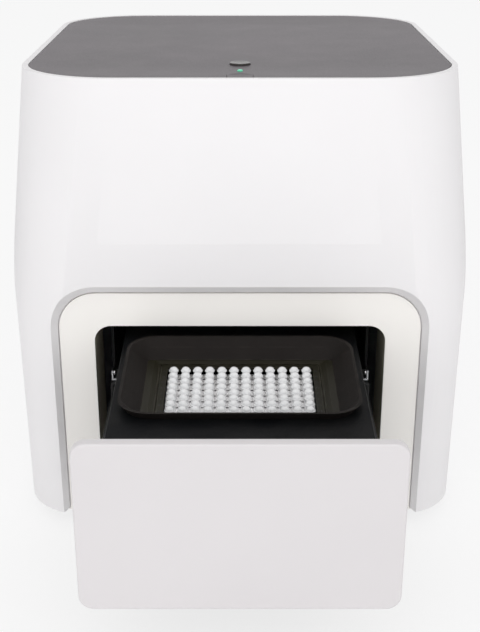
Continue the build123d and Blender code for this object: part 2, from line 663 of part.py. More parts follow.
def rear_panel():
    """The panel that closes the shell's rear window, with a round grille of slots over the fan."""
    outline = Pos(0, REAR_PANEL_CENTRE) * Rectangle(REAR_PANEL_WIDTH, REAR_PANEL_HEIGHT)
    count = int((GRILLE_RADIUS - GRILLE_SLOT) / GRILLE_PITCH)
    for step in range(-count, count + 1):
        rise = step * GRILLE_PITCH
        half = math.sqrt(GRILLE_RADIUS ** 2 - rise ** 2)
        slot = Rectangle(half - GRILLE_BAR / 2, GRILLE_SLOT)
        for side in (-1, 1):
            outline -= Pos(REAR_FAN_X + side * (half + GRILLE_BAR / 2) / 2, REAR_FAN_HEIGHT + rise) * slot
    entry = (ENTRY_WIDTH - 2 * (ENTRY_LAP - ENTRY_GAP), ENTRY_BREADTH - 2 * (ENTRY_LAP - ENTRY_GAP))
    outline -= Pos(ENTRY_X, ENTRY_HEIGHT) * Rectangle(*entry)
    for x, width, height in PORTS:
        hole = Rectangle(width + 2 * PORT_GAP, height + 2 * PORT_GAP)
        outline -= Pos(x, BOARD_HEIGHT + BOARD_THICKNESS + height / 2) * hole
    return upright(outline, PANEL_INNER_Y, PANEL_Y)


def panel_screws():
    inset = REAR_PANEL_LAP + SCREW_HEAD_RADIUS + PORT_GAP
    across = REAR_PANEL_WIDTH / 2 - inset
    low, high = REAR_PANEL_BOTTOM + inset, REAR_PANEL_TOP - inset
    head = RegularPolygon(SCREW_HEAD_RADIUS, SMALL_SIDES)
    return Compound([
        upright(Pos(sx * across, z) * head, PANEL_Y, PANEL_Y + SCREW_HEAD_HEIGHT)
        for sx in (-1, 1) for z in (low, high)
    ])


def power_entry():
    """The mains inlet and its switch pocket, in one moulding snapped into the rear panel."""
    centre = Pos(ENTRY_X, ENTRY_HEIGHT)
    entry = upright(centre * Rectangle(ENTRY_WIDTH, ENTRY_BREADTH), PANEL_Y, ENTRY_MOUTH_Y)
    body = Rectangle(ENTRY_WIDTH - 2 * ENTRY_LAP, ENTRY_BREADTH - 2 * ENTRY_LAP)
    entry += upright(centre * body, ENTRY_MOUTH_Y - ENTRY_DEPTH, ENTRY_MOUTH_Y)
    socket = Pos(ENTRY_X + SOCKET_X, ENTRY_HEIGHT) * Rectangle(SOCKET_WIDTH, SOCKET_BREADTH)
    entry -= upright(socket, ENTRY_MOUTH_Y - SOCKET_DEPTH, ENTRY_MOUTH_Y + 1)
    pocket = Rectangle(ROCKER_WIDTH + 2 * ROCKER_GAP, ROCKER_BREADTH + 2 * ROCKER_GAP)
    pocket = Pos(ENTRY_X + ROCKER_X, ENTRY_HEIGHT) * pocket
    return entry - upright(pocket, ENTRY_MOUTH_Y - ROCKER_POCKET, ENTRY_MOUTH_Y + 1)


def power_rocker():
    """A rocker whose two faces meet in a shallow V, tilted at rest so that its upper half stands out."""
    half = ROCKER_BREADTH / 2
    rise = ROCKER_ANGLE_DEG / 2
    dip = half * math.tan(math.radians(rise))
    depth = ROCKER_DEPTH / 2
    corners = [(-depth, -half), (depth, -half), (depth - dip, 0), (depth, half), (-depth, half)]
    outline = Polyline(*corners, close=True)
    centre = ENTRY_X + ROCKER_X
    x = (centre - ROCKER_WIDTH / 2, centre + ROCKER_WIDTH / 2)
    pivot = Pos(0, ENTRY_MOUTH_Y - depth, ENTRY_HEIGHT)
    return pivot * Rot(-rise, 0, 0) * sideways(make_face(outline), *x)


def power_pins():
    back = ENTRY_MOUTH_Y - SOCKET_DEPTH
    centre = ENTRY_X + SOCKET_X
    places = [(-PIN_SPACING, -PIN_THICKNESS), (0, PIN_THICKNESS), (PIN_SPACING, -PIN_THICKNESS)]
    pin = Rectangle(PIN_THICKNESS, PIN_WIDTH)
    return Compound([
        upright(Pos(centre + x, ENTRY_HEIGHT + z) * pin, back, back + PIN_LENGTH) for x, z in places
    ])


def data_ports():
    """A network socket and a USB socket on the main board's rear edge."""
    bottom = BOARD_HEIGHT + BOARD_THICKNESS
    mouth = PANEL_Y + PORT_GAP
    ports = []
    for x, width, height in PORTS:
        centre = Pos(x, bottom + height / 2)
        port = upright(centre * Rectangle(width, height), mouth - PORT_DEPTH, mouth)
        hollow = centre * Rectangle(width - 2 * PORT_SHELL, height - 2 * PORT_SHELL)
        ports.append(port - upright(hollow, mouth - PORT_DEPTH + PORT_SHELL, mouth + 1))
    return Compound(ports)


def main_board():
    """The board on its stand-offs, with its larger components as plain blocks."""
    top = BOARD_HEIGHT + BOARD_THICKNESS
    board = flat(Pos(BOARD_X, BOARD_Y) * Rectangle(BOARD_WIDTH, BOARD_LENGTH), BOARD_HEIGHT, top)
    for dx, dy, size, height in BOARD_BLOCKS:
        board += flat(Pos(BOARD_X + dx, BOARD_Y + dy) * Rectangle(size, size), top, top + height)
    return board


def power_supply():
    place = Pos(SUPPLY_X, PANEL_INNER_Y - SUPPLY_GAP - SUPPLY_LENGTH / 2)
    return flat(place * Rectangle(SUPPLY_WIDTH, SUPPLY_LENGTH), BASE_TOP, BASE_TOP + SUPPLY_HEIGHT)


def fan_frame(size, depth):
    """A square fan frame and its four-armed motor plate, with its axis along Z."""
    bore = size / 2 - FAN_RIM
    frame = extrude(Rectangle(size, size) - RegularPolygon(bore, FAN_BORE_SIDES), depth)
    plate = RegularPolygon(FAN_HUB_RADIUS, 2 * FAN_BLADES)
    for turn in (45, 135):
        plate += Rot(0, 0, turn) * Rectangle(2 * bore + 1, FAN_STRUT)
    return frame + extrude(plate, FAN_PLATE)


def fan_rotor(size, depth):
    """A many-sided hub with a pitched blade on every second side, running just above the motor plate."""
    low, high = FAN_PLATE + FAN_RUN_GAP, depth - FAN_RUN_GAP
    pitch = math.radians(FAN_BLADE_ANGLE_DEG)
    blade_height = (high - low - 2 * FAN_RUN_GAP - FAN_BLADE_THICKNESS * math.sin(pitch)) / math.cos(pitch)
    half_chord = blade_height / 2 * math.sin(pitch) + FAN_BLADE_THICKNESS
    bore = size / 2 - FAN_RIM
    tip = math.sqrt((bore - FAN_TIP_GAP) ** 2 - half_chord ** 2)
    root = FAN_HUB_RADIUS * math.cos(math.pi / (2 * FAN_BLADES)) - FAN_BLADE_ROOT
    blade = Pos((root + tip) / 2, 0, (low + high) / 2) * Rot(FAN_BLADE_ANGLE_DEG, 0, 0)
    blade = blade * Box(tip - root, FAN_BLADE_THICKNESS, blade_height)
    half_side = 180 / (2 * FAN_BLADES)
    rotor = flat(Rot(0, 0, half_side) * RegularPolygon(FAN_HUB_RADIUS, 2 * FAN_BLADES), low, high)
    for index in range(FAN_BLADES):
        rotor += Rot(0, 0, 360 * index / FAN_BLADES) * blade
    return rotor


def side_plates():
    """The two uprights that carry the slides and the optics deck, with lightening windows above the slides."""
    inner = FIXED_SLIDE_FACE
    outer = inner + SIDE_PLATE
    y = (SIDE_PLATE_Y, SIDE_PLATE_REAR_Y)
    plate = block((inner, outer), y, (BASE_TOP, DECK_HEIGHT))
    width = (y[1] - y[0] - 3 * SIDE_WINDOW_BAR) / 2
    for start in (y[0] + SIDE_WINDOW_BAR, y[0] + width + 2 * SIDE_WINDOW_BAR):
        top = DECK_HEIGHT - SIDE_WINDOW_BAR
        plate -= block((inner - 1, outer + 1), (start, start + width), (top - SIDE_WINDOW_HEIGHT, top))
    plate += block((inner, outer + SIDE_FLANGE), y, (BASE_TOP, BASE_TOP + SIDE_PLATE))
    plate += block((inner, outer + SIDE_FLANGE), y, (DECK_HEIGHT - SIDE_PLATE, DECK_HEIGHT))
    return both_sides(plate)


def channel(web, flange, half, start):
    """One folded member of a drawer slide on the right side: an upright web with a flange along each edge."""
    y = (start, start + SLIDE_LENGTH)
    z_low, z_high = SLIDE_CENTRE - half, SLIDE_CENTRE + half
    member = block(web, y, (z_low, z_high))
    member += block(flange, y, (z_low, z_low + SLIDE_SHEET))
    return member + block(flange, y, (z_high - SLIDE_SHEET, z_high))


def slide_half(step):
    """Half the height of a slide member, counted inward from the fixed one."""
    return SLIDE_HEIGHT / 2 - step * (SLIDE_SHEET + SLIDE_CLEARANCE)


def slide_outer():
    face = FIXED_SLIDE_FACE
    flange = (TRAY_HALF + SLIDE_LIP + 1, face)
    return channel((face - SLIDE_SHEET, face), flange, slide_half(0), FIXED_SLIDE_Y)


def slide_middle():
    face = FIXED_SLIDE_FACE - SLIDE_SHEET - SLIDE_WEB_GAP
    start = FIXED_SLIDE_Y - DRAWER_TRAVEL / 2
    return channel((face - SLIDE_SHEET, face), (TRAY_HALF + SLIDE_LIP, face), slide_half(1), start)


def slide_inner():
    tip = FIXED_SLIDE_FACE - 2 * SLIDE_SHEET - 2 * SLIDE_WEB_GAP - SLIDE_CLEARANCE
    start = FIXED_SLIDE_Y - DRAWER_TRAVEL
    return channel((TRAY_HALF, TRAY_HALF + SLIDE_SHEET), (TRAY_HALF, tip), slide_half(2), start)


def drawer_tray():
    """The drawer's sheet tub, cut down behind the cover, with an air inlet under the fan."""
    high = COVER_TOP - COVER_THICKNESS
    y = (TRAY_FRONT_Y, TRAY_REAR_Y)
    tray = block((-TRAY_HALF, TRAY_HALF), y, (TRAY_FLOOR, high))
    inner = TRAY_HALF - TRAY_WALL
    tray -= block((-inner, inner), (y[0] + TRAY_WALL, y[1] - TRAY_WALL), (TRAY_FLOOR + TRAY_WALL, high + 1))
    step_y = COVER_REAR_Y - COVER_WALL - SKIRT_GAP
    tray -= block((-TRAY_HALF, TRAY_HALF), (step_y, y[1]), (TRAY_FLOOR + TRAY_REAR_HEIGHT, high + 1))
    inlet = Pos(0, BLOCK_Y) * RegularPolygon(BLOCK_FAN_SIZE / 2 - FAN_RIM, FAN_BORE_SIDES)
    return tray - flat(inlet, TRAY_FLOOR - 1, TRAY_FLOOR + TRAY_WALL + 1)


def drawer_cover():
    """The black moulded top of the drawer, with a skirt all round and a round-cornered window."""
    half = COVER_WIDTH / 2
    bottom = COVER_TOP - COVER_THICKNESS - COVER_SKIRT
    cover = block((-half, half), (COVER_FRONT_Y, COVER_REAR_Y), (bottom, COVER_TOP))
    cover = chamfer(cover.edges().group_by(Axis.Z)[-1], COVER_EDGE)
    inner = half - COVER_WALL
    hollow_y = (COVER_FRONT_Y + COVER_WALL / 2, COVER_REAR_Y - COVER_WALL)
    cover -= block((-inner, inner), hollow_y, (bottom - 1, COVER_TOP - COVER_THICKNESS))
    window = rounded(STEM_LENGTH + 2 * WINDOW_GAP, STEM_BREADTH + 2 * WINDOW_GAP, STEM_CORNER + WINDOW_GAP)
    return cover - flat(Pos(0, BLOCK_Y) * window, bottom, COVER_TOP + 1)


def door_panel():
    outline = Pos(0, DOOR_BOTTOM + DOOR_HEIGHT / 2) * rounded(DOOR_WIDTH, DOOR_HEIGHT, DOOR_RADIUS)
    door = upright(outline, DOOR_Y, DOOR_BACK_Y)
    return chamfer(door.edges().group_by(Axis.Y)[0], DOOR_EDGE)


def door_carrier():
    """The plate that bolts the door to the tray, below the cover's skirt."""
    top = COVER_TOP - COVER_THICKNESS - COVER_SKIRT - TRAY_WALL
    low = TRAY_FLOOR + TRAY_WALL
    return upright(Pos(0, (low + top) / 2) * Rectangle(CARRIER_WIDTH, top - low), DOOR_BACK_Y, TRAY_FRONT_Y)


def sample_rim():
    """The soft funnel round the plate: flared outside, sloping inside, seated through the cover."""
    height = RIM_TOP - COVER_TOP
    flare = math.degrees(math.atan(RIM_FLARE / height))
    foot = (RIM_LENGTH - 2 * RIM_FLARE, RIM_BREADTH - 2 * RIM_FLARE, RIM_RADIUS - RIM_FLARE)
    rim = extrude(Pos(0, BLOCK_Y, COVER_TOP) * rounded(*foot), height, taper=-flare)
    rim += flat(Pos(0, BLOCK_Y) * rounded(STEM_LENGTH, STEM_BREADTH, STEM_CORNER), FRAME_TOP, COVER_TOP)
    depth = RIM_TOP - FRAME_TOP
    slope = math.degrees(math.atan(FUNNEL_SPREAD / depth))
    throat = rounded(FUNNEL_LENGTH, FUNNEL_BREADTH, FUNNEL_RADIUS)
    return rim - extrude(Pos(0, BLOCK_Y, FRAME_TOP) * throat, depth, taper=-slope)


def block_frame():
    """The lettered frame round the block, on four posts that stand on the heat sink."""
    length = BLOCK_LENGTH + 2 * FRAME_BORDER_SIDE
    breadth = BLOCK_BREADTH + 2 * FRAME_BORDER_END
    window = Rectangle(BLOCK_LENGTH + 2 * FRAME_GAP, BLOCK_BREADTH + 2 * FRAME_GAP)
    outline = Rectangle(length, breadth) - window
    frame = flat(Pos(0, BLOCK_Y) * outline, FRAME_TOP - FRAME_THICKNESS, FRAME_TOP)
    for side in (-1, 1):
        place = Pos(side * (BLOCK_LENGTH / 2 + GROOVE_REACH), BLOCK_Y)
        groove = place * Rectangle(GROOVE_WIDTH, BLOCK_BREADTH)
        frame -= flat(groove, FRAME_TOP - GROOVE_DEPTH, FRAME_TOP + 1)
    for sx in (-1, 1):
        for sy in (-1, 1):
            x, y = sx * (length / 2 - FRAME_POST), BLOCK_Y + sy * (breadth / 2 - FRAME_POST)
            post = Pos(x, y) * Rectangle(FRAME_POST, FRAME_POST)
            frame += flat(post, SINK_TOP, FRAME_TOP - FRAME_THICKNESS)
    return frame


def well_places():
    """The plate's grid: row A at the back, column 1 on the left."""
    return [
        (WELL_PITCH * (column - (COLUMNS - 1) / 2), BLOCK_Y + WELL_PITCH * ((ROWS - 1) / 2 - row))
        for column in range(COLUMNS) for row in range(ROWS)
    ]


def sample_block():
    """The metal block with a well for each tube."""
    well = RegularPolygon(WELL_RADIUS, WELL_SIDES)
    solid = flat(Pos(0, BLOCK_Y) * Rectangle(BLOCK_LENGTH, BLOCK_BREADTH), BLOCK_BOTTOM, BLOCK_TOP)
    return solid - [flat(Pos(x, y) * well, BLOCK_TOP - WELL_DEPTH, BLOCK_TOP + 1) for x, y in well_places()]


def tube_caps():
    """The closed tops of the sample tubes, one over each well."""
    cap = RegularPolygon(TUBE_RADIUS, CAP_SIDES)
    return Compound([flat(Pos(x, y) * cap, BLOCK_TOP, TUBE_TOP) for x, y in well_places()])


def peltier_modules():
    """Six modules between the block and the heat sink."""
    module = Rectangle(PELTIER_SIZE, PELTIER_SIZE)
    pitch = PELTIER_SIZE + PELTIER_GAP
    return Compound([
        flat(Pos(column * pitch, BLOCK_Y + row * pitch / 2) * module, SINK_TOP, BLOCK_BOTTOM)
        for column in (-1, 0, 1) for row in (-1, 1)
    ])


def heat_sink():
    """A finned extrusion, its fins hanging down towards the fan."""
    middle = (SINK_BOTTOM + SINK_TOP) / 2
    outline = Pos(0, middle) * Rectangle(SINK_LENGTH, SINK_BASE)
    count = int((SINK_LENGTH / 2 - SINK_BRACKET - FIN_THICKNESS) / FIN_PITCH)
    for index in range(-count, count + 1):
        outline += Pos(index * FIN_PITCH, middle - FIN_HEIGHT / 2) * Rectangle(FIN_THICKNESS, FIN_HEIGHT)
    return upright(outline, BLOCK_Y - SINK_BREADTH / 2, BLOCK_Y + SINK_BREADTH / 2)


def block_brackets():
    """Angles that carry the heat sink between the tray's walls."""
    face = TRAY_HALF - TRAY_WALL
    y = (BLOCK_Y - SINK_BRACKET_LENGTH / 2, BLOCK_Y + SINK_BRACKET_LENGTH / 2)
    shelf = block((SINK_LENGTH / 2 - SINK_BRACKET, face), y, (SINK_BOTTOM - SINK_BRACKET, SINK_BOTTOM))
    angle = shelf + block((face - SINK_BRACKET, face), y, (SINK_BOTTOM - SINK_BRACKET_DROP, SINK_BOTTOM))
    return both_sides(angle)


def drawer_rack():
    """A straight rack under the tray, its teeth pointing down and one centred over the pinion at rest."""
    pitch = math.pi * GEAR_MODULE
    slope = math.tan(math.radians(PRESSURE_ANGLE_DEG))
    half = pitch / 4 - BACKLASH / 2
    tip_z, root_z = RACK_PITCH_HEIGHT - GEAR_MODULE, RACK_PITCH_HEIGHT + DEDENDUM * GEAR_MODULE
    tip_half, root_half = half - GEAR_MODULE * slope, half + DEDENDUM * GEAR_MODULE * slope
    front = PINION_Y - DRAWER_TRAVEL - RACK_OVERRUN
    back = PINION_Y + RACK_OVERRUN
    first = math.ceil((front - PINION_Y) / pitch + 0.5)
    last = math.floor((back - PINION_Y) / pitch - 0.5)
    points = [(front, TRAY_FLOOR), (front, root_z)]
    for index in range(first, last + 1):
        y = PINION_Y + index * pitch
        points += [(y - root_half, root_z), (y - tip_half, tip_z)]
        points += [(y + tip_half, tip_z), (y + root_half, root_z)]
    points += [(back, root_z), (back, TRAY_FLOOR)]
    outline = make_face(Polyline(*points, close=True))
    return sideways(outline, RACK_X - GEAR_WIDTH / 2, RACK_X + GEAR_WIDTH / 2)


def involute(angle):
    """The involute function of an angle in radians."""
    return math.tan(angle) - angle


def drive_pinion():
    """A spur pinion with involute teeth and its shaft, a tooth space at its top at rest."""
    pressure = math.radians(PRESSURE_ANGLE_DEG)
    base = PITCH_RADIUS * math.cos(pressure)
    tip, root = PITCH_RADIUS + GEAR_MODULE, PITCH_RADIUS - DEDENDUM * GEAR_MODULE
    half_tooth = math.pi / (2 * PINION_TEETH) - BACKLASH / (2 * PITCH_RADIUS)
    flank = [base, PITCH_RADIUS, tip]
    half_angles = [half_tooth + involute(pressure) - involute(math.acos(base / radius)) for radius in flank]
    profile = [(root, half_angles[0])] + list(zip(flank, half_angles))
    points = []
    for tooth in range(PINION_TEETH):
        middle = math.pi / 2 + (tooth + 0.5) * 2 * math.pi / PINION_TEETH
        for radius, half in profile:
            points.append((radius * math.cos(middle - half), radius * math.sin(middle - half)))
        for radius, half in reversed(profile):
            points.append((radius * math.cos(middle + half), radius * math.sin(middle + half)))
    outline = Pos(PINION_Y, PINION_HEIGHT) * make_face(Polyline(*points, close=True))
    face = RACK_X + GEAR_WIDTH / 2
    gear = sideways(outline, face - GEAR_WIDTH, face)
    shaft = Pos(PINION_Y, PINION_HEIGHT) * RegularPolygon(PINION_SHAFT_RADIUS, SMALL_SIDES)
    return gear + sideways(shaft, face, face + PINION_SHAFT)


def stepper_motors():
    """Four small stepper motors: the drawer's, the lid's, the scan carriage's and the filter wheel's."""
    half = MOTOR_SIZE / 2
    drawer_x = (DRIVE_MOTOR_X, DRIVE_MOTOR_X + MOTOR_LENGTH)
    drawer_y = (PINION_Y - half, PINION_Y + half)
    wheel_x = (-BRACKET_END_X - MOTOR_LENGTH, -BRACKET_END_X)
    wheel_y = (WHEEL_Y - half, WHEEL_Y + half)
    scan_x = (BRACKET_END_X, BRACKET_END_X + MOTOR_LENGTH)
    scan_y = (LID_Y - half, LID_Y + half)
    lid_y = (LID_SCREW_Y - half, LID_SCREW_Y + half)
    return Compound([
        block(drawer_x, drawer_y, (PINION_HEIGHT - half, PINION_HEIGHT + half)),
        block((-half, half), lid_y, (DECK_TOP, DECK_TOP + MOTOR_LENGTH)),
        block(scan_x, scan_y, (SCAN_HEIGHT - half, SCAN_HEIGHT + half)),
        block(wheel_x, wheel_y, (WHEEL_HEIGHT - half, WHEEL_HEIGHT + half)),
    ])


def motor_bracket():
    """An angle on the base plate that carries the drawer's motor by its back."""
    half = MOTOR_SIZE / 2
    y = (PINION_Y - half, PINION_Y + half)
    back = DRIVE_MOTOR_X + MOTOR_LENGTH
    leaf = block((back, back + MOTOR_PLATE), y, (BASE_TOP, PINION_HEIGHT + half))
    return leaf + block((back - half, back), y, (BASE_TOP, BASE_TOP + MOTOR_PLATE))


def heater_plate():
    """The heated plate that presses on the caps, with a slot over each column of tubes."""
    outline = Rectangle(HEATER_LENGTH, HEATER_BREADTH)
    slot = Rectangle(HEATER_SLOT, ROWS * WELL_PITCH - HEATER_SLOT)
    for column in range(COLUMNS):
        outline -= Pos(WELL_PITCH * (column - (COLUMNS - 1) / 2), 0) * slot
    return flat(Pos(0, LID_Y) * outline, HEATER_BOTTOM, HEATER_TOP)


def light_window():
    """The outline through which the optics look down at the block's closed place."""
    return Pos(0, LID_Y) * Rectangle(LIGHT_WINDOW_LENGTH, LIGHT_WINDOW_BREADTH)


def lid_insulator():
    size = (HEATER_LENGTH - 2 * INSULATOR_INSET, HEATER_BREADTH - 2 * INSULATOR_INSET)
    return flat(Pos(0, LID_Y) * Rectangle(*size) - light_window(), HEATER_TOP, LID_CARRIER_BOTTOM)


def guide_places():
    """Places of the lid's guide posts in plan."""
    return [(side * GUIDE_SPACING_X / 2, LID_Y) for side in (-1, 1)]


def lid_carrier():
    """The plate that rides on the guide posts, with a tongue at the back for the screw's nut."""
    outline = Pos(0, LID_Y) * Rectangle(LID_CARRIER_LENGTH, LID_CARRIER_BREADTH) - light_window()
    tongue_start = LID_CARRIER_BREADTH / 2
    tongue_length = LID_SCREW_BACK + LID_TONGUE_WIDTH / 2 - tongue_start
    tongue = Rectangle(LID_TONGUE_WIDTH, tongue_length)
    outline += Pos(0, LID_Y + tongue_start + tongue_length / 2) * tongue
    outline -= Pos(0, LID_SCREW_Y) * Rectangle(NUT_SIZE / 2, NUT_SIZE / 2)
    for x, y in guide_places():
        outline -= Pos(x, y) * Circle(GUIDE_RADIUS + GUIDE_CLEARANCE)
    return flat(outline, LID_CARRIER_BOTTOM, LID_CARRIER_TOP)


def lid_nut():
    outline = Rectangle(NUT_SIZE, NUT_SIZE) - Circle(LID_SCREW_RADIUS + GUIDE_CLEARANCE)
    return flat(Pos(0, LID_SCREW_Y) * outline, LID_CARRIER_TOP, LID_CARRIER_TOP + NUT_HEIGHT)


def lid_posts():
    return Compound([along_z(GUIDE_RADIUS, x, y, (GUIDE_FOOT, DECK_HEIGHT)) for x, y in guide_places()])


def lid_screw():
    return along_z(LID_SCREW_RADIUS, 0, LID_SCREW_Y, (GUIDE_FOOT, DECK_TOP - MOTOR_GAP))


def optics_deck():
    """The shelf that carries the optics above the lid, with a window over the block's closed place."""
    front = TUNNEL_Y + TUNNEL_DEPTH / 2
    outline = Pos(0, (front + SIDE_PLATE_REAR_Y) / 2) * Rectangle(DECK_WIDTH, SIDE_PLATE_REAR_Y - front)
    outline -= light_window()
    outline -= Pos(0, LID_SCREW_Y) * Rectangle(NUT_SIZE, NUT_SIZE)
    return flat(outline, DECK_HEIGHT, DECK_TOP)


def end_brackets():
    """The two brackets that the scan screw runs between."""
    y = (LID_Y - END_BRACKET_LENGTH / 2, LID_Y + END_BRACKET_LENGTH / 2)
    return both_sides(block((END_BRACKET_X, BRACKET_END_X), y, (DECK_TOP, DECK_TOP + END_BRACKET_HEIGHT)))


def scan_rails():
    """Two straight rails on the deck."""
    rail = Rectangle(2 * END_BRACKET_X, RAIL_WIDTH)
    return Compound([
        flat(Pos(0, LID_Y + side * RAIL_SPACING / 2) * rail, DECK_TOP, DECK_TOP + RAIL_HEIGHT)
        for side in (-1, 1)
    ])


def scan_screw():
    end = END_BRACKET_X - MOTOR_GAP
    return along_x(SCAN_SCREW_RADIUS, (-end, end), LID_Y, SCAN_HEIGHT)


def optics_carriage():
    """The scan head's body, grooved to ride on the rails and bored for the screw."""
    outline = Pos(LID_Y, SCAN_HEIGHT) * Rectangle(CARRIAGE_LENGTH, CARRIAGE_HEIGHT)
    groove = Rectangle(RAIL_WIDTH + 2 * GUIDE_CLEARANCE, 2 * (RAIL_ENGAGEMENT + GUIDE_CLEARANCE))
    for side in (-1, 1):
        outline -= Pos(LID_Y + side * RAIL_SPACING / 2, CARRIAGE_BOTTOM) * groove
    outline -= Pos(LID_Y, SCAN_HEIGHT) * Circle(SCAN_SCREW_RADIUS + GUIDE_CLEARANCE)
    return sideways(outline, -CARRIAGE_WIDTH / 2, CARRIAGE_WIDTH / 2)


def lens_bar():
    """Eight lenses under the carriage, one over each row."""
    low = CARRIAGE_BOTTOM - LENS_BAR_HEIGHT
    bar = flat(Pos(0, LID_Y) * Rectangle(LENS_BAR_WIDTH, ROWS * WELL_PITCH), low, CARRIAGE_BOTTOM)
    lens = RegularPolygon(LENS_RADIUS, LENS_SIDES)
    for row in range(ROWS):
        bar += flat(Pos(0, LID_Y + WELL_PITCH * ((ROWS - 1) / 2 - row)) * lens, low - LENS_HEIGHT, low)
    return bar


def light_module():
    """The light source on the carriage, with cooling fins."""
    base_top = CARRIAGE_TOP + LIGHT_MODULE_HEIGHT / 2
    module = flat(Pos(0, LID_Y) * Rectangle(LIGHT_MODULE_WIDTH, LIGHT_MODULE_LENGTH), CARRIAGE_TOP, base_top)
    fin = Rectangle(LIGHT_MODULE_WIDTH, LIGHT_MODULE_FIN)
    count = int((LIGHT_MODULE_LENGTH - LIGHT_MODULE_FIN) / 2 / LIGHT_MODULE_PITCH)
    for index in range(-count, count + 1):
        place = Pos(0, LID_Y + index * LIGHT_MODULE_PITCH)
        module += flat(place * fin, base_top, CARRIAGE_TOP + LIGHT_MODULE_HEIGHT)
    return module


def filter_wheel():
    """Six filters in a wheel on the motor's shaft, in front of the detector."""
    outline = RegularPolygon(WHEEL_RADIUS, WHEEL_SIDES)
    for index in range(WHEEL_FILTERS):
        place = Rot(0, 0, 360 * index / WHEEL_FILTERS) * Pos(FILTER_CIRCLE, 0)
        outline -= place * Rectangle(FILTER_SIZE, FILTER_SIZE)
    return sideways(Pos(WHEEL_Y, WHEEL_HEIGHT) * outline, WHEEL_X - WHEEL_THICKNESS, WHEEL_X)


def detector():
    """The detector's housing on the deck, with its light inlet facing the wheel."""
    face = WHEEL_X - WHEEL_THICKNESS - WHEEL_GAP
    y = (LID_Y - DETECTOR_BREADTH / 2, LID_Y + DETECTOR_BREADTH / 2)
    box = block((face - DETECTOR_LENGTH, face), y, (DECK_TOP, DECK_TOP + DETECTOR_HEIGHT))
    inlet = Pos(WHEEL_Y + FILTER_CIRCLE, WHEEL_HEIGHT) * Rectangle(FILTER_SIZE, FILTER_SIZE)
    return box - sideways(inlet, face - WHEEL_THICKNESS, face + 1)


PIECES = {
    "housing_shell": housing_shell,
    "top_panel": top_panel,
    "power_button": power_button,
    "drawer_button": drawer_button,
    "status_light": status_light,
    "control_board": control_board,
    "fascia": fascia,
    "drawer_tunnel": drawer_tunnel,
    "base_plate": base_plate,
    "feet": feet,
    "rear_panel": rear_panel,
    "panel_screws": panel_screws,
    "power_entry": power_entry,
    "power_pins": power_pins,
    "power_rocker": power_rocker,
    "data_ports": data_ports,
    "main_board": main_board,
    "power_supply": power_supply,
    "rear_fan_frame": lambda: REAR_FAN_PLACE * fan_frame(REAR_FAN_SIZE, REAR_FAN_DEPTH),
    "rear_fan_rotor": lambda: REAR_FAN_PLACE * fan_rotor(REAR_FAN_SIZE, REAR_FAN_DEPTH),
    "side_plates": side_plates,
    "slide_outer_right": slide_outer,
    "slide_outer_left": lambda: mirror(slide_outer(), Plane.YZ),
    "slide_middle_right": slide_middle,
    "slide_middle_left": lambda: mirror(slide_middle(), Plane.YZ),
    "slide_inner_right": slide_inner,
    "slide_inner_left": lambda: mirror(slide_inner(), Plane.YZ),
    "drawer_tray": drawer_tray,
    "drawer_cover": drawer_cover,
    "door_panel": door_panel,
    "door_carrier": door_carrier,
    "sample_rim": sample_rim,
    "block_frame": block_frame,
    "sample_block": sample_block,
    "tube_caps": tube_caps,
    "peltier_modules": peltier_modules,
    "heat_sink": heat_sink,
    "block_brackets": block_brackets,
    "block_fan_frame": lambda: BLOCK_FAN_PLACE * fan_frame(BLOCK_FAN_SIZE, BLOCK_FAN_DEPTH),
    "block_fan_rotor": lambda: BLOCK_FAN_PLACE * fan_rotor(BLOCK_FAN_SIZE, BLOCK_FAN_DEPTH),
    "drawer_rack": drawer_rack,
    "drive_pinion": drive_pinion,
    "stepper_motors": stepper_motors,
    "motor_bracket": motor_bracket,
    "heater_plate": heater_plate,
    "lid_insulator": lid_insulator,
    "lid_carrier": lid_carrier,
    "lid_nut": lid_nut,
    "lid_posts": lid_posts,
    "lid_screw": lid_screw,
    "optics_deck": optics_deck,
    "end_brackets": end_brackets,
    "scan_rails": scan_rails,
    "scan_screw": scan_screw,
    "optics_carriage": optics_carriage,
    "lens_bar": lens_bar,
    "light_module": light_module,
    "filter_wheel": filter_wheel,
    "detector": detector,
}

for name, make in PIECES.items():
    export_step(make(), f"parts/{name}.step")
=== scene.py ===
"""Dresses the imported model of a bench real-time PCR instrument with its visible pieces and finishes."""

import math
from dataclasses import dataclass

import bmesh
import bpy
from bpy.props import FloatProperty, FloatVectorProperty, IntProperty, PointerProperty
from mathutils import Matrix, Vector


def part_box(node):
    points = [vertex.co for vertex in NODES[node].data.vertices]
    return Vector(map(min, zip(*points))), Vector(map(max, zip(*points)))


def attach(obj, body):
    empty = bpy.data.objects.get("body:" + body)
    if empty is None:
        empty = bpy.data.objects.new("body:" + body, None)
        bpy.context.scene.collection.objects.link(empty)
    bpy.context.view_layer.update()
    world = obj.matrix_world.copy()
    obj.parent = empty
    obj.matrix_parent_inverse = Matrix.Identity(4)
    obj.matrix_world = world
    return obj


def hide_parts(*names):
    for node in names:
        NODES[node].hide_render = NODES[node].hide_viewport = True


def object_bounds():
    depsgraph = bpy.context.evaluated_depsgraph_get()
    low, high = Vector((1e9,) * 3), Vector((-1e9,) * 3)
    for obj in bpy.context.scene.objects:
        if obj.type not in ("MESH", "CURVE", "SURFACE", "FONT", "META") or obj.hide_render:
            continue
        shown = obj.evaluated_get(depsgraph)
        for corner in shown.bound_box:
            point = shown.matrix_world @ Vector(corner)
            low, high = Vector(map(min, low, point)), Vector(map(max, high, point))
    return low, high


bl_info = {
    "name": "Real-time PCR instrument",
    "version": (1, 0, 0),
    "blender": (4, 5, 0),
    "location": "View3D > Sidebar > PCR",
    "description": "Builds the visible pieces, finishes and studio of a bench real-time PCR instrument",
    "category": "Add Mesh",
}

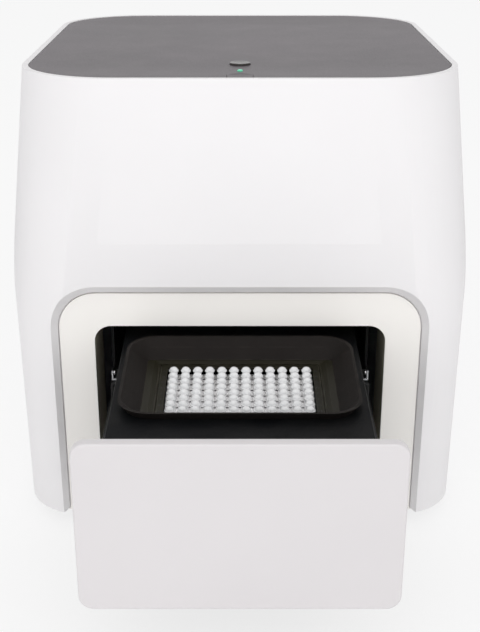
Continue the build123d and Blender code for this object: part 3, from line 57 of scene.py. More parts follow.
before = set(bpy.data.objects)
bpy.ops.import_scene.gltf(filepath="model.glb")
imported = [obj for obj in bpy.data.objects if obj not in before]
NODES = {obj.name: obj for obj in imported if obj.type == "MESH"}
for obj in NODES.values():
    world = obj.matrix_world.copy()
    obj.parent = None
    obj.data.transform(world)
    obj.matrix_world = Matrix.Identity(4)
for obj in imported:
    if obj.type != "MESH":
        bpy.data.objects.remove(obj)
CAD_BOX = [list(corner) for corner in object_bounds()]
TOP_FALL = math.radians(3.5)
RIM_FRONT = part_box("fascia")[0].y + 0.007
TOP_PLACE = Matrix.Translation((0, RIM_FRONT, CAD_BOX[1][2])) @ Matrix.Rotation(-TOP_FALL, 4, "X")
BLOCK_LOW, BLOCK_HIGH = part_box("sample_block")
BLOCK_Y = (BLOCK_LOW.y + BLOCK_HIGH.y) / 2
WELL_PITCH = 0.009
COLUMNS = 12
ROWS = 8
ROUND_SIDES = 40
SHARP_ANGLE = math.radians(50)
FLAT_ANGLE = math.radians(0.4)
SAME_PLACE = 0.00001
NEAR = 0.001
OVERLAP = 0.0001


# Selecting and shaping

def deselect():
    if bpy.context.object is not None and bpy.context.object.mode != "OBJECT":
        bpy.ops.object.mode_set(mode="OBJECT")
    bpy.ops.object.select_all(action="DESELECT")


def only(piece):
    deselect()
    piece.select_set(True)
    bpy.context.view_layer.objects.active = piece


def pick(piece, kind, test):
    """Goes into edit mode with only the faces, edges or vertices selected that pass the test."""
    only(piece)
    bpy.ops.object.mode_set(mode="EDIT")
    bpy.ops.mesh.select_mode(type=kind)
    bpy.ops.mesh.select_all(action="DESELECT")
    mesh = bmesh.from_edit_mesh(piece.data)
    mesh.normal_update()
    for item in {"VERT": mesh.verts, "EDGE": mesh.edges, "FACE": mesh.faces}[kind]:
        if test(item):
            item.select_set(True)
    mesh.select_flush_mode()
    bmesh.update_edit_mesh(piece.data)


def leave():
    bpy.ops.object.mode_set(mode="OBJECT")


def runs_along(axis):
    """A test for edges that run along an axis."""
    def test(edge):
        return abs((edge.verts[0].co - edge.verts[1].co).normalized()[axis]) > 0.999
    return test


def faces_along(axis, sign):
    """A test for the faces that look along an axis."""
    def test(face):
        return face.normal[axis] * sign > 0.999
    return test


def sharp(edge):
    """A test for edges whose faces meet at an angle."""
    return len(edge.link_faces) == 2 and edge.calc_face_angle() > SHARP_ANGLE


def sharp_from(axis, level):
    """A test for sharp edges that start above a level of an axis."""
    return lambda edge: sharp(edge) and edge.verts[0].co[axis] > level


def sharp_to(axis, level):
    """A test for sharp edges that start below a level of an axis."""
    return lambda edge: sharp(edge) and edge.verts[0].co[axis] < level


def sharp_over(level):
    """A test for sharp edges that lie above a height."""
    return lambda edge: sharp(edge) and min(vert.co.z for vert in edge.verts) > level


def cuboid(name, low, high):
    low, high = Vector(low), Vector(high)
    deselect()
    bpy.ops.mesh.primitive_cube_add(size=1, location=(low + high) / 2)
    piece = bpy.context.object
    piece.name = name
    piece.scale = high - low
    bpy.ops.object.transform_apply(location=True, rotation=True, scale=True)
    return piece


def cylinder(name, centre, radius, depth, axis=2, sides=ROUND_SIDES):
    """A cylinder that starts at its centre point and runs along an axis by its depth."""
    turn = {0: (0, math.pi / 2, 0), 1: (-math.pi / 2, 0, 0), 2: (0, 0, 0)}[axis]
    middle = Vector(centre)
    middle[axis] += depth / 2
    deselect()
    bpy.ops.mesh.primitive_cylinder_add(
        vertices=sides, radius=radius, depth=abs(depth), location=middle, rotation=turn)
    piece = bpy.context.object
    piece.name = name
    bpy.ops.object.transform_apply(location=True, rotation=True, scale=True)
    return piece


def bevel(piece, test, offset, segments):
    pick(piece, "EDGE", test)
    bpy.ops.mesh.bevel(offset=offset, segments=segments, affect="EDGES", clamp_overlap=True)
    leave()


def plate(name, low, high, axis, corner, edge, corner_segments=12, edge_segments=3):
    """A plate across an axis with round corners and softened edges."""
    piece = cuboid(name, low, high)
    bevel(piece, runs_along(axis), corner, corner_segments)
    if edge:
        bevel(piece, sharp, edge, edge_segments)
    return piece


def modify(piece, kind, **settings):
    """Adds a modifier, gives it its settings and applies it."""
    only(piece)
    modifier = piece.modifiers.new(kind.title(), kind)
    for key, value in settings.items():
        setattr(modifier, key, value)
    bpy.ops.object.modifier_apply(modifier=modifier.name)


def combine(piece, other, operation):
    """Cuts another shape from a piece, or adds it, and removes that shape."""
    modify(piece, "BOOLEAN", operation=operation, object=other, solver="EXACT")
    bpy.data.objects.remove(other)


def soften(piece, width, segments=2, angle=40):
    """Rounds every edge that is sharper than the angle in degrees."""
    modify(piece, "BEVEL", width=width, segments=segments, limit_method="ANGLE",
           angle_limit=math.radians(angle), use_clamp_overlap=True, miter_outer="MITER_ARC")


def work_inwards(piece, side, steps):
    """Insets the largest face that looks up or down by (inset, depth) steps, and leaves the last selected."""
    look = faces_along(2, side)
    largest = max(filter(look, piece.data.polygons), key=lambda face: face.area).index
    pick(piece, "FACE", lambda face: face.index == largest and look(face))
    for thickness, depth in steps:
        bpy.ops.mesh.inset(thickness=thickness, depth=depth)


def ring(piece, top_steps, bottom_steps):
    """Works a plate's top and bottom inwards by steps and joins their last outlines into a hole."""
    for side, steps in ((1, top_steps), (-1, bottom_steps)):
        work_inwards(piece, side, steps)
        bpy.ops.mesh.delete(type="FACE")
        leave()
    pick(piece, "EDGE", lambda edge: edge.is_boundary)
    bpy.ops.mesh.bridge_edge_loops()
    leave()


def repeat(piece, shifts):
    """Copies a modelled piece by each shift and joins the copies into it."""
    copies = []
    for shift in shifts:
        copy = piece.copy()
        copy.data = piece.data.copy()
        bpy.context.scene.collection.objects.link(copy)
        copy.data.transform(Matrix.Translation(shift))
        copies.append(copy)
    joined(piece, copies)


def joined(piece, others):
    """Joins other pieces into a piece."""
    only(piece)
    for other in others:
        other.select_set(True)
    bpy.ops.object.join()


def to_corners(piece, first, second):
    """Copies a piece at one corner of a rectangle to the other three."""
    first, second = Vector(first), Vector(second)
    repeat(piece, [first, second, first + second])


def mirrored(piece, name):
    """The same piece on the other side of the middle plane."""
    copy = piece.copy()
    copy.data = piece.data.copy()
    copy.name = name
    bpy.context.scene.collection.objects.link(copy)
    only(copy)
    copy.scale.x = -1
    bpy.ops.object.transform_apply(location=True, rotation=True, scale=True)
    bpy.ops.object.mode_set(mode="EDIT")
    bpy.ops.mesh.select_all(action="SELECT")
    bpy.ops.mesh.normals_make_consistent(inside=False)
    leave()
    return copy


def placed(piece, place):
    """Moves a piece by a place and puts that into its mesh."""
    piece.matrix_world = place @ piece.matrix_world
    only(piece)
    bpy.ops.object.transform_apply(location=True, rotation=True, scale=True)
    return piece


def merged(node, name):
    """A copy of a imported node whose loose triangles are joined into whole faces."""
    piece = bpy.data.objects.new(name, NODES[node].data.copy())
    bpy.context.scene.collection.objects.link(piece)
    pick(piece, "VERT", lambda vert: True)
    bpy.ops.mesh.remove_doubles(threshold=SAME_PLACE)
    bpy.ops.mesh.dissolve_limited(angle_limit=FLAT_ANGLE)
    leave()
    return piece


def done(piece, body, finish, node=None, crease=35):
    """Gives a piece its shading, finish and body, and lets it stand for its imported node."""
    only(piece)
    bpy.ops.object.shade_smooth_by_angle(angle=math.radians(crease))
    modify(piece, "WEIGHTED_NORMAL", keep_sharp=True)
    piece.data.materials.clear()
    piece.data.materials.append(bpy.data.materials[finish])
    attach(piece, body)
    if node:
        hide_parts(node)
    return piece


# Finishes

def add_group(name, inputs, outputs):
    """An empty shader node group with named float, colour or vector sockets."""
    tree = bpy.data.node_groups.new(name, "ShaderNodeTree")
    kinds = {"float": "NodeSocketFloat", "color": "NodeSocketColor", "vector": "NodeSocketVector"}
    for label, kind in inputs:
        tree.interface.new_socket(name=label, in_out="INPUT", socket_type=kinds[kind])
    for label, kind in outputs:
        tree.interface.new_socket(name=label, in_out="OUTPUT", socket_type=kinds[kind])
    return tree, tree.nodes.new("NodeGroupInput"), tree.nodes.new("NodeGroupOutput")


def add_math(tree, operation, first, second, clamp=False):
    node = tree.nodes.new("ShaderNodeMath")
    node.operation = operation
    node.use_clamp = clamp
    for socket, value in zip(node.inputs, (first, second)):
        if isinstance(value, (int, float)):
            socket.default_value = value
        else:
            tree.links.new(value, socket)
    return node.outputs[0]


def add_noise(tree, vector, scale, detail=4.0, roughness=0.55):
    node = tree.nodes.new("ShaderNodeTexNoise")
    tree.links.new(vector, node.inputs["Vector"])
    if isinstance(scale, (int, float)):
        node.inputs["Scale"].default_value = scale
    else:
        tree.links.new(scale, node.inputs["Scale"])
    node.inputs["Detail"].default_value = detail
    node.inputs["Roughness"].default_value = roughness
    return node.outputs["Fac"]


def add_range(tree, value, low, high, start=0.0, end=1.0):
    """Maps a value from one range to another and clamps it."""
    node = tree.nodes.new("ShaderNodeMapRange")
    tree.links.new(value, node.inputs["Value"])
    for label, number in (("From Min", low), ("From Max", high), ("To Min", start), ("To Max", end)):
        node.inputs[label].default_value = number
    return node.outputs["Result"]


def add_mix(tree, factor, first, second):
    """Mixes two colours by a factor."""
    node = tree.nodes.new("ShaderNodeMix")
    node.data_type = "RGBA"
    tree.links.new(factor, node.inputs["Factor"])
    for socket, value in ((node.inputs["A"], first), (node.inputs["B"], second)):
        if isinstance(value, bpy.types.NodeSocket):
            tree.links.new(value, socket)
        else:
            socket.default_value = (*value, 1)
    return node.outputs["Result"]


def build_moulded_grain():
    """The fine sparked texture of an injection mould: pebbles of one size over a softer unevenness."""
    tree, source, sink = add_group(
        "Moulded grain", (("Vector", "vector"), ("Scale", "float")), (("Height", "float"), ("Mask", "float")))
    cells = tree.nodes.new("ShaderNodeTexVoronoi")
    cells.feature = "SMOOTH_F1"
    cells.inputs["Smoothness"].default_value = 0.6
    tree.links.new(source.outputs["Vector"], cells.inputs["Vector"])
    tree.links.new(source.outputs["Scale"], cells.inputs["Scale"])
    fine = add_noise(tree, source.outputs["Vector"], source.outputs["Scale"], 3.0)
    height = add_math(tree, "ADD", cells.outputs["Distance"], fine)
    tree.links.new(add_math(tree, "MULTIPLY", height, 0.5), sink.inputs["Height"])
    tree.links.new(add_range(tree, fine, 0.35, 0.65), sink.inputs["Mask"])


def build_tone_drift():
    """A slow change between two close tones over the surface."""
    tree, source, sink = add_group(
        "Tone drift", (("Vector", "vector"), ("Scale", "float"), ("Tone", "color"), ("Other tone", "color")),
        (("Color", "color"),))
    drift = add_noise(tree, source.outputs["Vector"], source.outputs["Scale"], 2.0)
    mask = add_range(tree, drift, 0.35, 0.65)
    color = add_mix(tree, mask, source.outputs["Tone"], source.outputs["Other tone"])
    tree.links.new(color, sink.inputs["Color"])


def build_edge_wear():
    """A mask along convex and hollow edges, broken up so that it comes and goes."""
    tree, source, sink = add_group(
        "Edge wear", (("Vector", "vector"), ("Amount", "float")), (("Mask", "float"),))
    rounded = tree.nodes.new("ShaderNodeBevel")
    rounded.samples = 4
    rounded.inputs["Radius"].default_value = 0.0012
    geometry = tree.nodes.new("ShaderNodeNewGeometry")
    compare = tree.nodes.new("ShaderNodeVectorMath")
    compare.operation = "DOT_PRODUCT"
    tree.links.new(rounded.outputs["Normal"], compare.inputs[0])
    tree.links.new(geometry.outputs["Normal"], compare.inputs[1])
    edge = add_range(tree, compare.outputs["Value"], 0.995, 0.85)
    broken = add_range(tree, add_noise(tree, source.outputs["Vector"], 90.0), 0.38, 0.62)
    mask = add_math(tree, "MULTIPLY", edge, broken)
    tree.links.new(add_math(tree, "MULTIPLY", mask, source.outputs["Amount"], True), sink.inputs["Mask"])


def build_dust():
    """A mask of fine dust where the surface looks up."""
    tree, source, sink = add_group(
        "Dust", (("Vector", "vector"), ("Amount", "float")), (("Mask", "float"),))
    geometry = tree.nodes.new("ShaderNodeNewGeometry")
    split = tree.nodes.new("ShaderNodeSeparateXYZ")
    tree.links.new(geometry.outputs["Normal"], split.inputs[0])
    upward = add_range(tree, split.outputs["Z"], 0.4, 1.0)
    cloud = add_range(tree, add_noise(tree, source.outputs["Vector"], 35.0, 6.0), 0.4, 0.75)
    specks = add_range(tree, add_noise(tree, source.outputs["Vector"], 900.0, 2.0), 0.6, 0.75)
    mask = add_math(tree, "MULTIPLY", upward, add_math(tree, "ADD", cloud, specks))
    tree.links.new(add_math(tree, "MULTIPLY", mask, source.outputs["Amount"], True), sink.inputs["Mask"])


def build_brushed():
    """Fine parallel streaks along the object's Y, as on rolled, ground or extruded metal."""
    tree, source, sink = add_group(
        "Brushed streaks", (("Vector", "vector"), ("Scale", "float")),
        (("Height", "float"), ("Mask", "float")))
    stretch = tree.nodes.new("ShaderNodeVectorMath")
    stretch.operation = "MULTIPLY"
    stretch.inputs[1].default_value = (1.0, 0.03, 1.0)
    tree.links.new(source.outputs["Vector"], stretch.inputs[0])
    streaks = add_noise(tree, stretch.outputs["Vector"], source.outputs["Scale"], 5.0, 0.65)
    tree.links.new(streaks, sink.inputs["Height"])
    tree.links.new(add_range(tree, streaks, 0.3, 0.7), sink.inputs["Mask"])


@dataclass
class Finish:
    """What one finish looks like: two close tones, its gloss, its texture and how it ages."""
    tone: tuple
    other_tone: tuple
    roughness: float
    texture: str = "Moulded grain"
    scale: float = 1600.0
    depth: float = 0.00002
    metallic: float = 0.0
    wear: tuple = (0.6, 0.6, 0.6)
    wear_amount: float = 0.0
    dust: float = 0.0
    ior: float = 1.5


DUST_TONE = (0.42, 0.4, 0.37)
DRIFT_SCALE = 6.0
GLOSS_SPREAD = (0.88, 1.1)
BUMP_STRENGTH = 0.6


def darker(tone, share):
    return tuple(value * share for value in tone)


def place_group(tree, name, vector, **values):
    """Places a shared group in a material and gives it its own values."""
    node = tree.nodes.new("ShaderNodeGroup")
    node.node_tree = bpy.data.node_groups[name]
    tree.links.new(vector, node.inputs["Vector"])
    for label, value in values.items():
        socket = node.inputs[label.replace("_", " ")]
        socket.default_value = (*value, 1) if isinstance(value, tuple) else value
    return node


def build_finish(name, finish):
    """A material from the shared groups: drift, wear and dust in its colour, texture in gloss and bump."""
    material = bpy.data.materials.new(name)
    material.use_nodes = True
    tree = material.node_tree
    shader = tree.nodes["Principled BSDF"]
    vector = tree.nodes.new("ShaderNodeTexCoord").outputs["Object"]
    tones = place_group(
        tree, "Tone drift", vector, Scale=DRIFT_SCALE, Tone=finish.tone, Other_tone=finish.other_tone)
    color = tones.outputs["Color"]
    texture = place_group(tree, finish.texture, vector, Scale=finish.scale)
    if finish.wear_amount:
        wear = place_group(tree, "Edge wear", vector, Amount=finish.wear_amount)
        color = add_mix(tree, wear.outputs["Mask"], color, finish.wear)
    if finish.dust:
        dust = place_group(tree, "Dust", vector, Amount=finish.dust)
        color = add_mix(tree, dust.outputs["Mask"], color, DUST_TONE)
    tree.links.new(color, shader.inputs["Base Color"])
    glossiest, dullest = (finish.roughness * share for share in GLOSS_SPREAD)
    gloss = add_range(tree, texture.outputs["Mask"], 0.0, 1.0, glossiest, dullest)
    tree.links.new(gloss, shader.inputs["Roughness"])
    bump = tree.nodes.new("ShaderNodeBump")
    bump.inputs["Strength"].default_value = BUMP_STRENGTH
    bump.inputs["Distance"].default_value = finish.depth
    tree.links.new(texture.outputs["Height"], bump.inputs["Height"])
    tree.links.new(bump.outputs["Normal"], shader.inputs["Normal"])
    shader.inputs["Metallic"].default_value = finish.metallic
    shader.inputs["IOR"].default_value = finish.ior
    return material


def build_finishes(settings):
    """Every finish of the instrument, named for where it is used."""
    white, cream, door = (tuple(c) for c in (settings.shell_tone, settings.fascia_tone, settings.door_tone))
    panel, cover, rim, inset = (
        tuple(c) for c in (settings.panel_tone, settings.cover_tone, settings.rim_tone, settings.frame_tone))
    steel, alloy = (0.56, 0.57, 0.58), (0.68, 0.69, 0.7)
    finishes = {
        "shell white": Finish(white, darker(white, 0.975), 0.5, dust=0.03, wear=(0.7, 0.69, 0.66),
                              wear_amount=0.12),
        "fascia cream": Finish(cream, darker(cream, 0.975), 0.5, wear=(0.7, 0.68, 0.63), wear_amount=0.12),
        "door white": Finish(door, darker(door, 0.975), 0.45, wear=(0.72, 0.7, 0.68), wear_amount=0.12),
        "top panel grey": Finish(panel, darker(panel, 0.8), 0.42, scale=1300.0, depth=0.00004, dust=0.05,
                                 ior=1.3, wear=(0.3, 0.28, 0.3), wear_amount=0.3),
        "key black": Finish((0.035, 0.03, 0.028), (0.05, 0.043, 0.04), 0.28, depth=0.000005,
                            wear=(0.16, 0.15, 0.14), wear_amount=0.4),
        # The sleeve is cream plastic. Its dull olive tone is painted shade and reflection, as the cream looks
        # deep in the opening.
        "tunnel olive": Finish((0.62, 0.58, 0.46), (0.55, 0.52, 0.41), 0.55),
        "cover black": Finish(cover, darker(cover, 0.6), 0.5, scale=1400.0, ior=1.14, dust=0.015,
                              wear=(0.03, 0.027, 0.025), wear_amount=0.4),
        "rim black": Finish(rim, darker(rim, 0.7), 0.62, scale=2200.0, ior=1.16, dust=0.015,
                            wear=(0.05, 0.043, 0.038), wear_amount=0.5),
        "inset olive": Finish(inset, darker(inset, 0.7), 0.45, ior=1.22, wear=(0.1, 0.095, 0.07),
                              wear_amount=0.5),
        "letter black": Finish((0.006, 0.006, 0.006), (0.01, 0.01, 0.01), 0.5),
        "block alloy": Finish((0.93, 0.93, 0.94), (0.85, 0.85, 0.86), 0.4, "Brushed streaks", 900.0, 0.00001,
                              1.0),
        "alloy": Finish(alloy, darker(alloy, 0.88), 0.32, "Brushed streaks", 1200.0, 0.00002, 1.0,
                        wear=(0.85, 0.85, 0.86), wear_amount=0.5),
        "zinc sheet": Finish(steel, darker(steel, 0.85), 0.36, "Brushed streaks", 500.0, 0.00002, 1.0,
                             wear=(0.75, 0.75, 0.76), wear_amount=0.5),
        "ground steel": Finish((0.62, 0.62, 0.62), (0.5, 0.5, 0.5), 0.2, "Brushed streaks", 1500.0, 0.00001,
                               1.0),
        # On the drawer slides, which are zinc steel, this black is painted shade. The other parts that use it
        # have a black coat.
        "black coat": Finish((0.012, 0.012, 0.013), (0.018, 0.018, 0.019), 0.48, scale=1100.0, depth=0.00004,
                             ior=1.4, dust=0.04, wear=(0.2, 0.2, 0.2), wear_amount=0.4),
        "rear coat": Finish((0.5, 0.5, 0.51), (0.46, 0.46, 0.47), 0.5, scale=900.0, depth=0.00006, dust=0.05,
                            wear=(0.7, 0.7, 0.7), wear_amount=0.4),
        "brass": Finish((0.72, 0.52, 0.24), (0.6, 0.42, 0.19), 0.28, "Brushed streaks", 1400.0, 0.00001, 1.0),
        "black moulding": Finish((0.02, 0.02, 0.021), (0.026, 0.026, 0.027), 0.42, wear=(0.09, 0.09, 0.09),
                                 wear_amount=0.4),
        "white ceramic": Finish((0.8, 0.8, 0.78), (0.74, 0.74, 0.72), 0.6, scale=700.0),
        "acetal": Finish((0.72, 0.7, 0.64), (0.66, 0.64, 0.58), 0.38, depth=0.000006),
        "board green": Finish((0.015, 0.12, 0.045), (0.01, 0.085, 0.03), 0.3, scale=400.0, depth=0.00003),
        "foot rubber": Finish((0.02, 0.02, 0.02), (0.03, 0.029, 0.028), 0.8, scale=1000.0, depth=0.00006,
                              dust=0.2, wear=(0.08, 0.08, 0.078), wear_amount=0.6),
    }
    for name, finish in finishes.items():
        build_finish(name, finish)
    clear_material(tuple(settings.tube_tone))
    light_material(tuple(settings.light_tone))


def clear_material(tone):
    """Frosted clear polypropylene, for the tubes."""
    material = build_finish(
        "frosted clear", Finish(tone, darker(tone, 0.96), 0.1, scale=2500.0, depth=0.000006))
    shader = material.node_tree.nodes["Principled BSDF"]
    shader.inputs["Transmission Weight"].default_value = 0.12
    shader.inputs["Coat Weight"].default_value = 0.6
    shader.inputs["Coat Roughness"].default_value = 0.2


def light_material(tone):
    """The lit green lens in the top panel."""
    material = build_finish("lit green", Finish(tone, darker(tone, 0.9), 0.3, depth=0.000005))
    shader = material.node_tree.nodes["Principled BSDF"]
    shader.inputs["Emission Color"].default_value = (*tone, 1)
    shader.inputs["Emission Strength"].default_value = 0.5


NODE_FINISHES = {
    "shell white": ("housing_shell",),
    "fascia cream": ("fascia",),
    "door white": ("door_panel",),
    "top panel grey": ("top_panel",),
    "key black": ("power_button", "drawer_button", "power_rocker"),
    "lit green": ("status_light",),
    "tunnel olive": ("drawer_tunnel",),
    "cover black": ("drawer_cover",),
    "rim black": ("sample_rim",),
    "inset olive": ("block_frame",),
    "block alloy": ("sample_block", "heater_plate"),
    "frosted clear": ("tube_caps",),
    "alloy": ("heat_sink", "end_brackets", "optics_carriage", "light_module", "filter_wheel"),
    "zinc sheet": ("base_plate", "data_ports", "power_supply", "block_brackets", "motor_bracket",
                   "optics_deck"),
    "ground steel": ("panel_screws", "lid_posts", "lid_screw", "scan_rails", "scan_screw"),
    # The slides' black is painted shade on zinc steel. The other parts here have a black coat.
    "black coat": ("slide_inner_right", "slide_inner_left", "slide_middle_right", "slide_middle_left",
                   "slide_outer_right", "slide_outer_left", "drawer_tray", "door_carrier", "stepper_motors",
                   "lid_carrier", "side_plates"),
    "rear coat": ("rear_panel",),
    "brass": ("power_pins", "lid_nut"),
    "black moulding": ("power_entry", "rear_fan_frame", "rear_fan_rotor", "block_fan_frame",
                       "block_fan_rotor", "lens_bar", "detector"),
    "white ceramic": ("peltier_modules", "lid_insulator"),
    "acetal": ("drawer_rack", "drive_pinion"),
    "board green": ("control_board", "main_board"),
    "foot rubber": ("feet",),
}


# What a user can change

class PCR_PG_finishes(bpy.types.PropertyGroup):
    shell_tone: FloatVectorProperty(
        name="Housing", description="Colour of the moulded housing", subtype="COLOR", min=0, max=1,
        default=(0.86, 0.845, 0.855))
    fascia_tone: FloatVectorProperty(
        name="Fascia", description="Colour of the front round the drawer", subtype="COLOR", min=0, max=1,
        default=(0.97, 0.945, 0.91))
    door_tone: FloatVectorProperty(
        name="Door", description="Colour of the drawer's front", subtype="COLOR", min=0, max=1,
        default=(0.7, 0.675, 0.685))
    panel_tone: FloatVectorProperty(
        name="Top panel", description="Colour of the panel set into the top", subtype="COLOR", min=0, max=1,
        default=(0.084, 0.069, 0.08))
    cover_tone: FloatVectorProperty(
        name="Drawer cover", description="Colour of the drawer's top", subtype="COLOR", min=0, max=1,
        default=(0.005, 0.0055, 0.0065))
    rim_tone: FloatVectorProperty(
        name="Sample rim", description="Colour of the funnel round the samples", subtype="COLOR",
        min=0, max=1, default=(0.017, 0.0145, 0.0135))
    frame_tone: FloatVectorProperty(
        name="Lettered frame", description="Colour of the frame round the block", subtype="COLOR",
        min=0, max=1, default=(0.016, 0.0145, 0.008))
    tube_tone: FloatVectorProperty(
        name="Tubes", description="Colour of the sample tubes", subtype="COLOR", min=0, max=1,
        default=(0.975, 0.98, 0.99))
    light_tone: FloatVectorProperty(
        name="Status light", description="Colour of the status light", subtype="COLOR", min=0, max=1,
        default=(0.1, 0.55, 0.33))


class PCR_PG_sizes(bpy.types.PropertyGroup):
    housing_edge: FloatProperty(
        name="Housing edge", description="Rounding of the housing's edges", default=0.0007, min=0,
        unit="LENGTH")
    door_edge: FloatProperty(
        name="Door edge", description="Rounding of the door's front edge", default=0.0014, min=0,
        unit="LENGTH")
    dish_depth: FloatProperty(
        name="Dish depth", description="How far the top panel sinks in its middle", default=0.0016, min=0,
        max=0.0025, unit="LENGTH")
    letter_height: FloatProperty(
        name="Row letter height", description="Height of the letters beside the rows", default=0.0036,
        min=0.001, unit="LENGTH")
    tube_sides: IntProperty(
        name="Tube sides", description="Number of sides of each tube", default=14, min=6, max=24)


class PCR_PG_studio(bpy.types.PropertyGroup):
    lens: FloatProperty(
        name="Lens", description="Focal length on a 36 mm sensor", default=70.35, min=10, unit="CAMERA")
    camera_height: FloatProperty(
        name="Camera height", description="Height of the camera above the bench", default=0.565,
        unit="LENGTH")
    camera_distance: FloatProperty(
        name="Camera distance", description="Distance of the camera in front of the origin", default=0.9675,
        unit="LENGTH")
    camera_pitch: FloatProperty(
        name="Camera pitch", description="How far the camera looks down", default=math.radians(24.88),
        subtype="ANGLE", unit="ROTATION")
    camera_shift: FloatProperty(
        name="Vertical shift", description="Vertical shift of the view", default=0.038)
    key_power: FloatProperty(
        name="Key light", description="Power of the light above the front", default=8.0, min=0, unit="POWER")
    front_power: FloatProperty(
        name="Front light", description="Power of the light behind the camera", default=13.0, min=0,
        unit="POWER")
    fill_power: FloatProperty(
        name="Fill lights", description="Power of the light at each side", default=0.6, min=0, unit="POWER")
    sky_strength: FloatProperty(
        name="Ambient light", description="Strength of the even light from all round", default=0.72, min=0)


# Pieces

class PCR_OT_finishes(bpy.types.Operator):
    """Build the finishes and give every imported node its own"""
    bl_idname = "pcr.finishes"
    bl_label = "Finishes"

    def execute(self, context):
        for build in (build_moulded_grain, build_tone_drift, build_edge_wear, build_dust, build_brushed):
            build()
        build_finishes(context.scene.pcr_finishes)
        for finish, nodes in NODE_FINISHES.items():
            for node in nodes:
                for slot in NODES[node].material_slots:
                    slot.material = bpy.data.materials[finish]
        return {"FINISHED"}


class PCR_OT_housing(bpy.types.Operator):
    """Round the edges of the moulded housing and of the fascia in its arch"""
    bl_idname = "pcr.housing"
    bl_label = "Housing"

    def execute(self, context):
        for node, name, finish in (("housing_shell", "moulded_housing", "shell white"),
                                   ("fascia", "front_fascia", "fascia cream")):
            piece = merged(node, name)
            soften(piece, context.scene.pcr_sizes.housing_edge)
            done(piece, "chassis", finish, node)
        return {"FINISHED"}


# The top panel and its keys lie in a frame whose origin is the front of the housing's rim, in its plane
KEY_TOP, KEY_BOTTOM = -0.0002, -0.0028
KEY_GAP, KEY_EDGE = 0.00025, 0.0004
STEM_TOP, STEM_END, STEM_HALF = -0.0025, -0.008, 0.0015
POWER_KEY_BACK, POWER_KEY_RADIUS = 0.076, 0.008
DRAWER_KEY_HALF, DRAWER_KEY_FRONT, DRAWER_KEY_REAR, DRAWER_STEM_BACK = 0.0096, 0.006, 0.026, 0.0215
DRAWER_KEY_ARCH = 0.95
LENS_BACK, LENS_RADIUS, LENS_LENGTH, LENS_EDGE, LENS_SIDES = 0.041, 0.002, 0.0128, 0.0008, 20
PANEL_LOW, PANEL_HIGH = (-0.1599, 0.0051, -0.004), (0.1599, 0.3709, KEY_TOP)
PANEL_CORNER, PANEL_EDGE, PANEL_SEGMENTS = 0.0679, 0.0005, 28
CUT_LOW, CUT_HIGH = -0.008, 0.004
DISH_STEPS = ((0.004, 0), (0.008, 0.16), (0.012, 0.3), (0.014, 0.28), (0.012, 0.18), (0.01, 0.08))


def arched_outline(name, grow, low, high):
    """The drawer button's form: a straight front and sides, and a round back."""
    half = DRAWER_KEY_HALF + grow
    piece = cuboid(name, (-half, DRAWER_KEY_FRONT - grow, low), (half, DRAWER_KEY_REAR + grow, high))
    middle = (DRAWER_KEY_FRONT + DRAWER_KEY_REAR) / 2
    bevel(piece, lambda edge: runs_along(2)(edge) and edge.verts[0].co.y > middle, half * DRAWER_KEY_ARCH, 12)
    return piece


class PCR_OT_top_panel(bpy.types.Operator):
    """Model the dished panel in the top with its three openings"""
    bl_idname = "pcr.top_panel"
    bl_label = "Top panel"

    def execute(self, context):
        depth = context.scene.pcr_sizes.dish_depth
        panel = plate("dished_panel", PANEL_LOW, PANEL_HIGH, 2, PANEL_CORNER, PANEL_EDGE, PANEL_SEGMENTS)
        work_inwards(panel, 1, [(inset_by, -share * depth) for inset_by, share in DISH_STEPS])
        leave()
        length = CUT_HIGH - CUT_LOW
        for cutter in (
            cylinder("power_cut", (0, POWER_KEY_BACK, CUT_LOW), POWER_KEY_RADIUS + KEY_GAP, length),
            cylinder("light_cut", (0, LENS_BACK, CUT_LOW), LENS_RADIUS + KEY_GAP, length, sides=LENS_SIDES),
            arched_outline("drawer_cut", KEY_GAP, CUT_LOW, CUT_HIGH),
        ):
            combine(panel, cutter, "DIFFERENCE")
        done(placed(panel, TOP_PLACE), "chassis", "top panel grey", "top_panel")
        return {"FINISHED"}


def finish_key(cap, stem_back, falls):
    """Rounds a key's top, dishes its face by two falls, adds its square stem and puts it in the top panel."""
    bevel(cap, sharp_from(2, -NEAR), KEY_EDGE, 3)
    work_inwards(cap, 1, [(0.0012, 0), (0.0015, -falls[0]), (0.002, -falls[1])])
    leave()
    stem = cuboid(
        "stem", (-STEM_HALF, stem_back - STEM_HALF, STEM_END), (STEM_HALF, stem_back + STEM_HALF, STEM_TOP))
    combine(cap, stem, "UNION")
    return placed(cap, TOP_PLACE)


class PCR_OT_controls(bpy.types.Operator):
    """Model the two buttons and the status light"""
    bl_idname = "pcr.controls"
    bl_label = "Controls"

    def execute(self, context):
        power = cylinder(
            "power_key_cap", (0, POWER_KEY_BACK, KEY_BOTTOM), POWER_KEY_RADIUS, KEY_TOP - KEY_BOTTOM)
        power = finish_key(power, POWER_KEY_BACK, (0.0002, 0.00015))
        done(power, "power_key", "key black", "power_button")

        drawer = arched_outline("drawer_key_cap", 0, KEY_BOTTOM, KEY_TOP)
        drawer = finish_key(drawer, DRAWER_STEM_BACK, (0.00025, 0.0002))
        done(drawer, "drawer_key", "top panel grey", "drawer_button")

        lens = cylinder("status_lens", (0, LENS_BACK, KEY_TOP - LENS_LENGTH), LENS_RADIUS, LENS_LENGTH,
                        sides=LENS_SIDES)
        bevel(lens, sharp_from(2, -NEAR), LENS_EDGE, 4)
        done(placed(lens, TOP_PLACE), "chassis", "lit green", "status_light")
        return {"FINISHED"}


DOOR_CORNER, DOOR_BACK_EDGE = 0.0105, 0.0004
SLEEVE_HALF, SLEEVE_LOW, SLEEVE_HIGH = 0.11225, 0.042, 0.1775
SLEEVE_CORNER, SLEEVE_WALL, FLANGE_WIDTH = 0.0135, 0.002, 0.0075


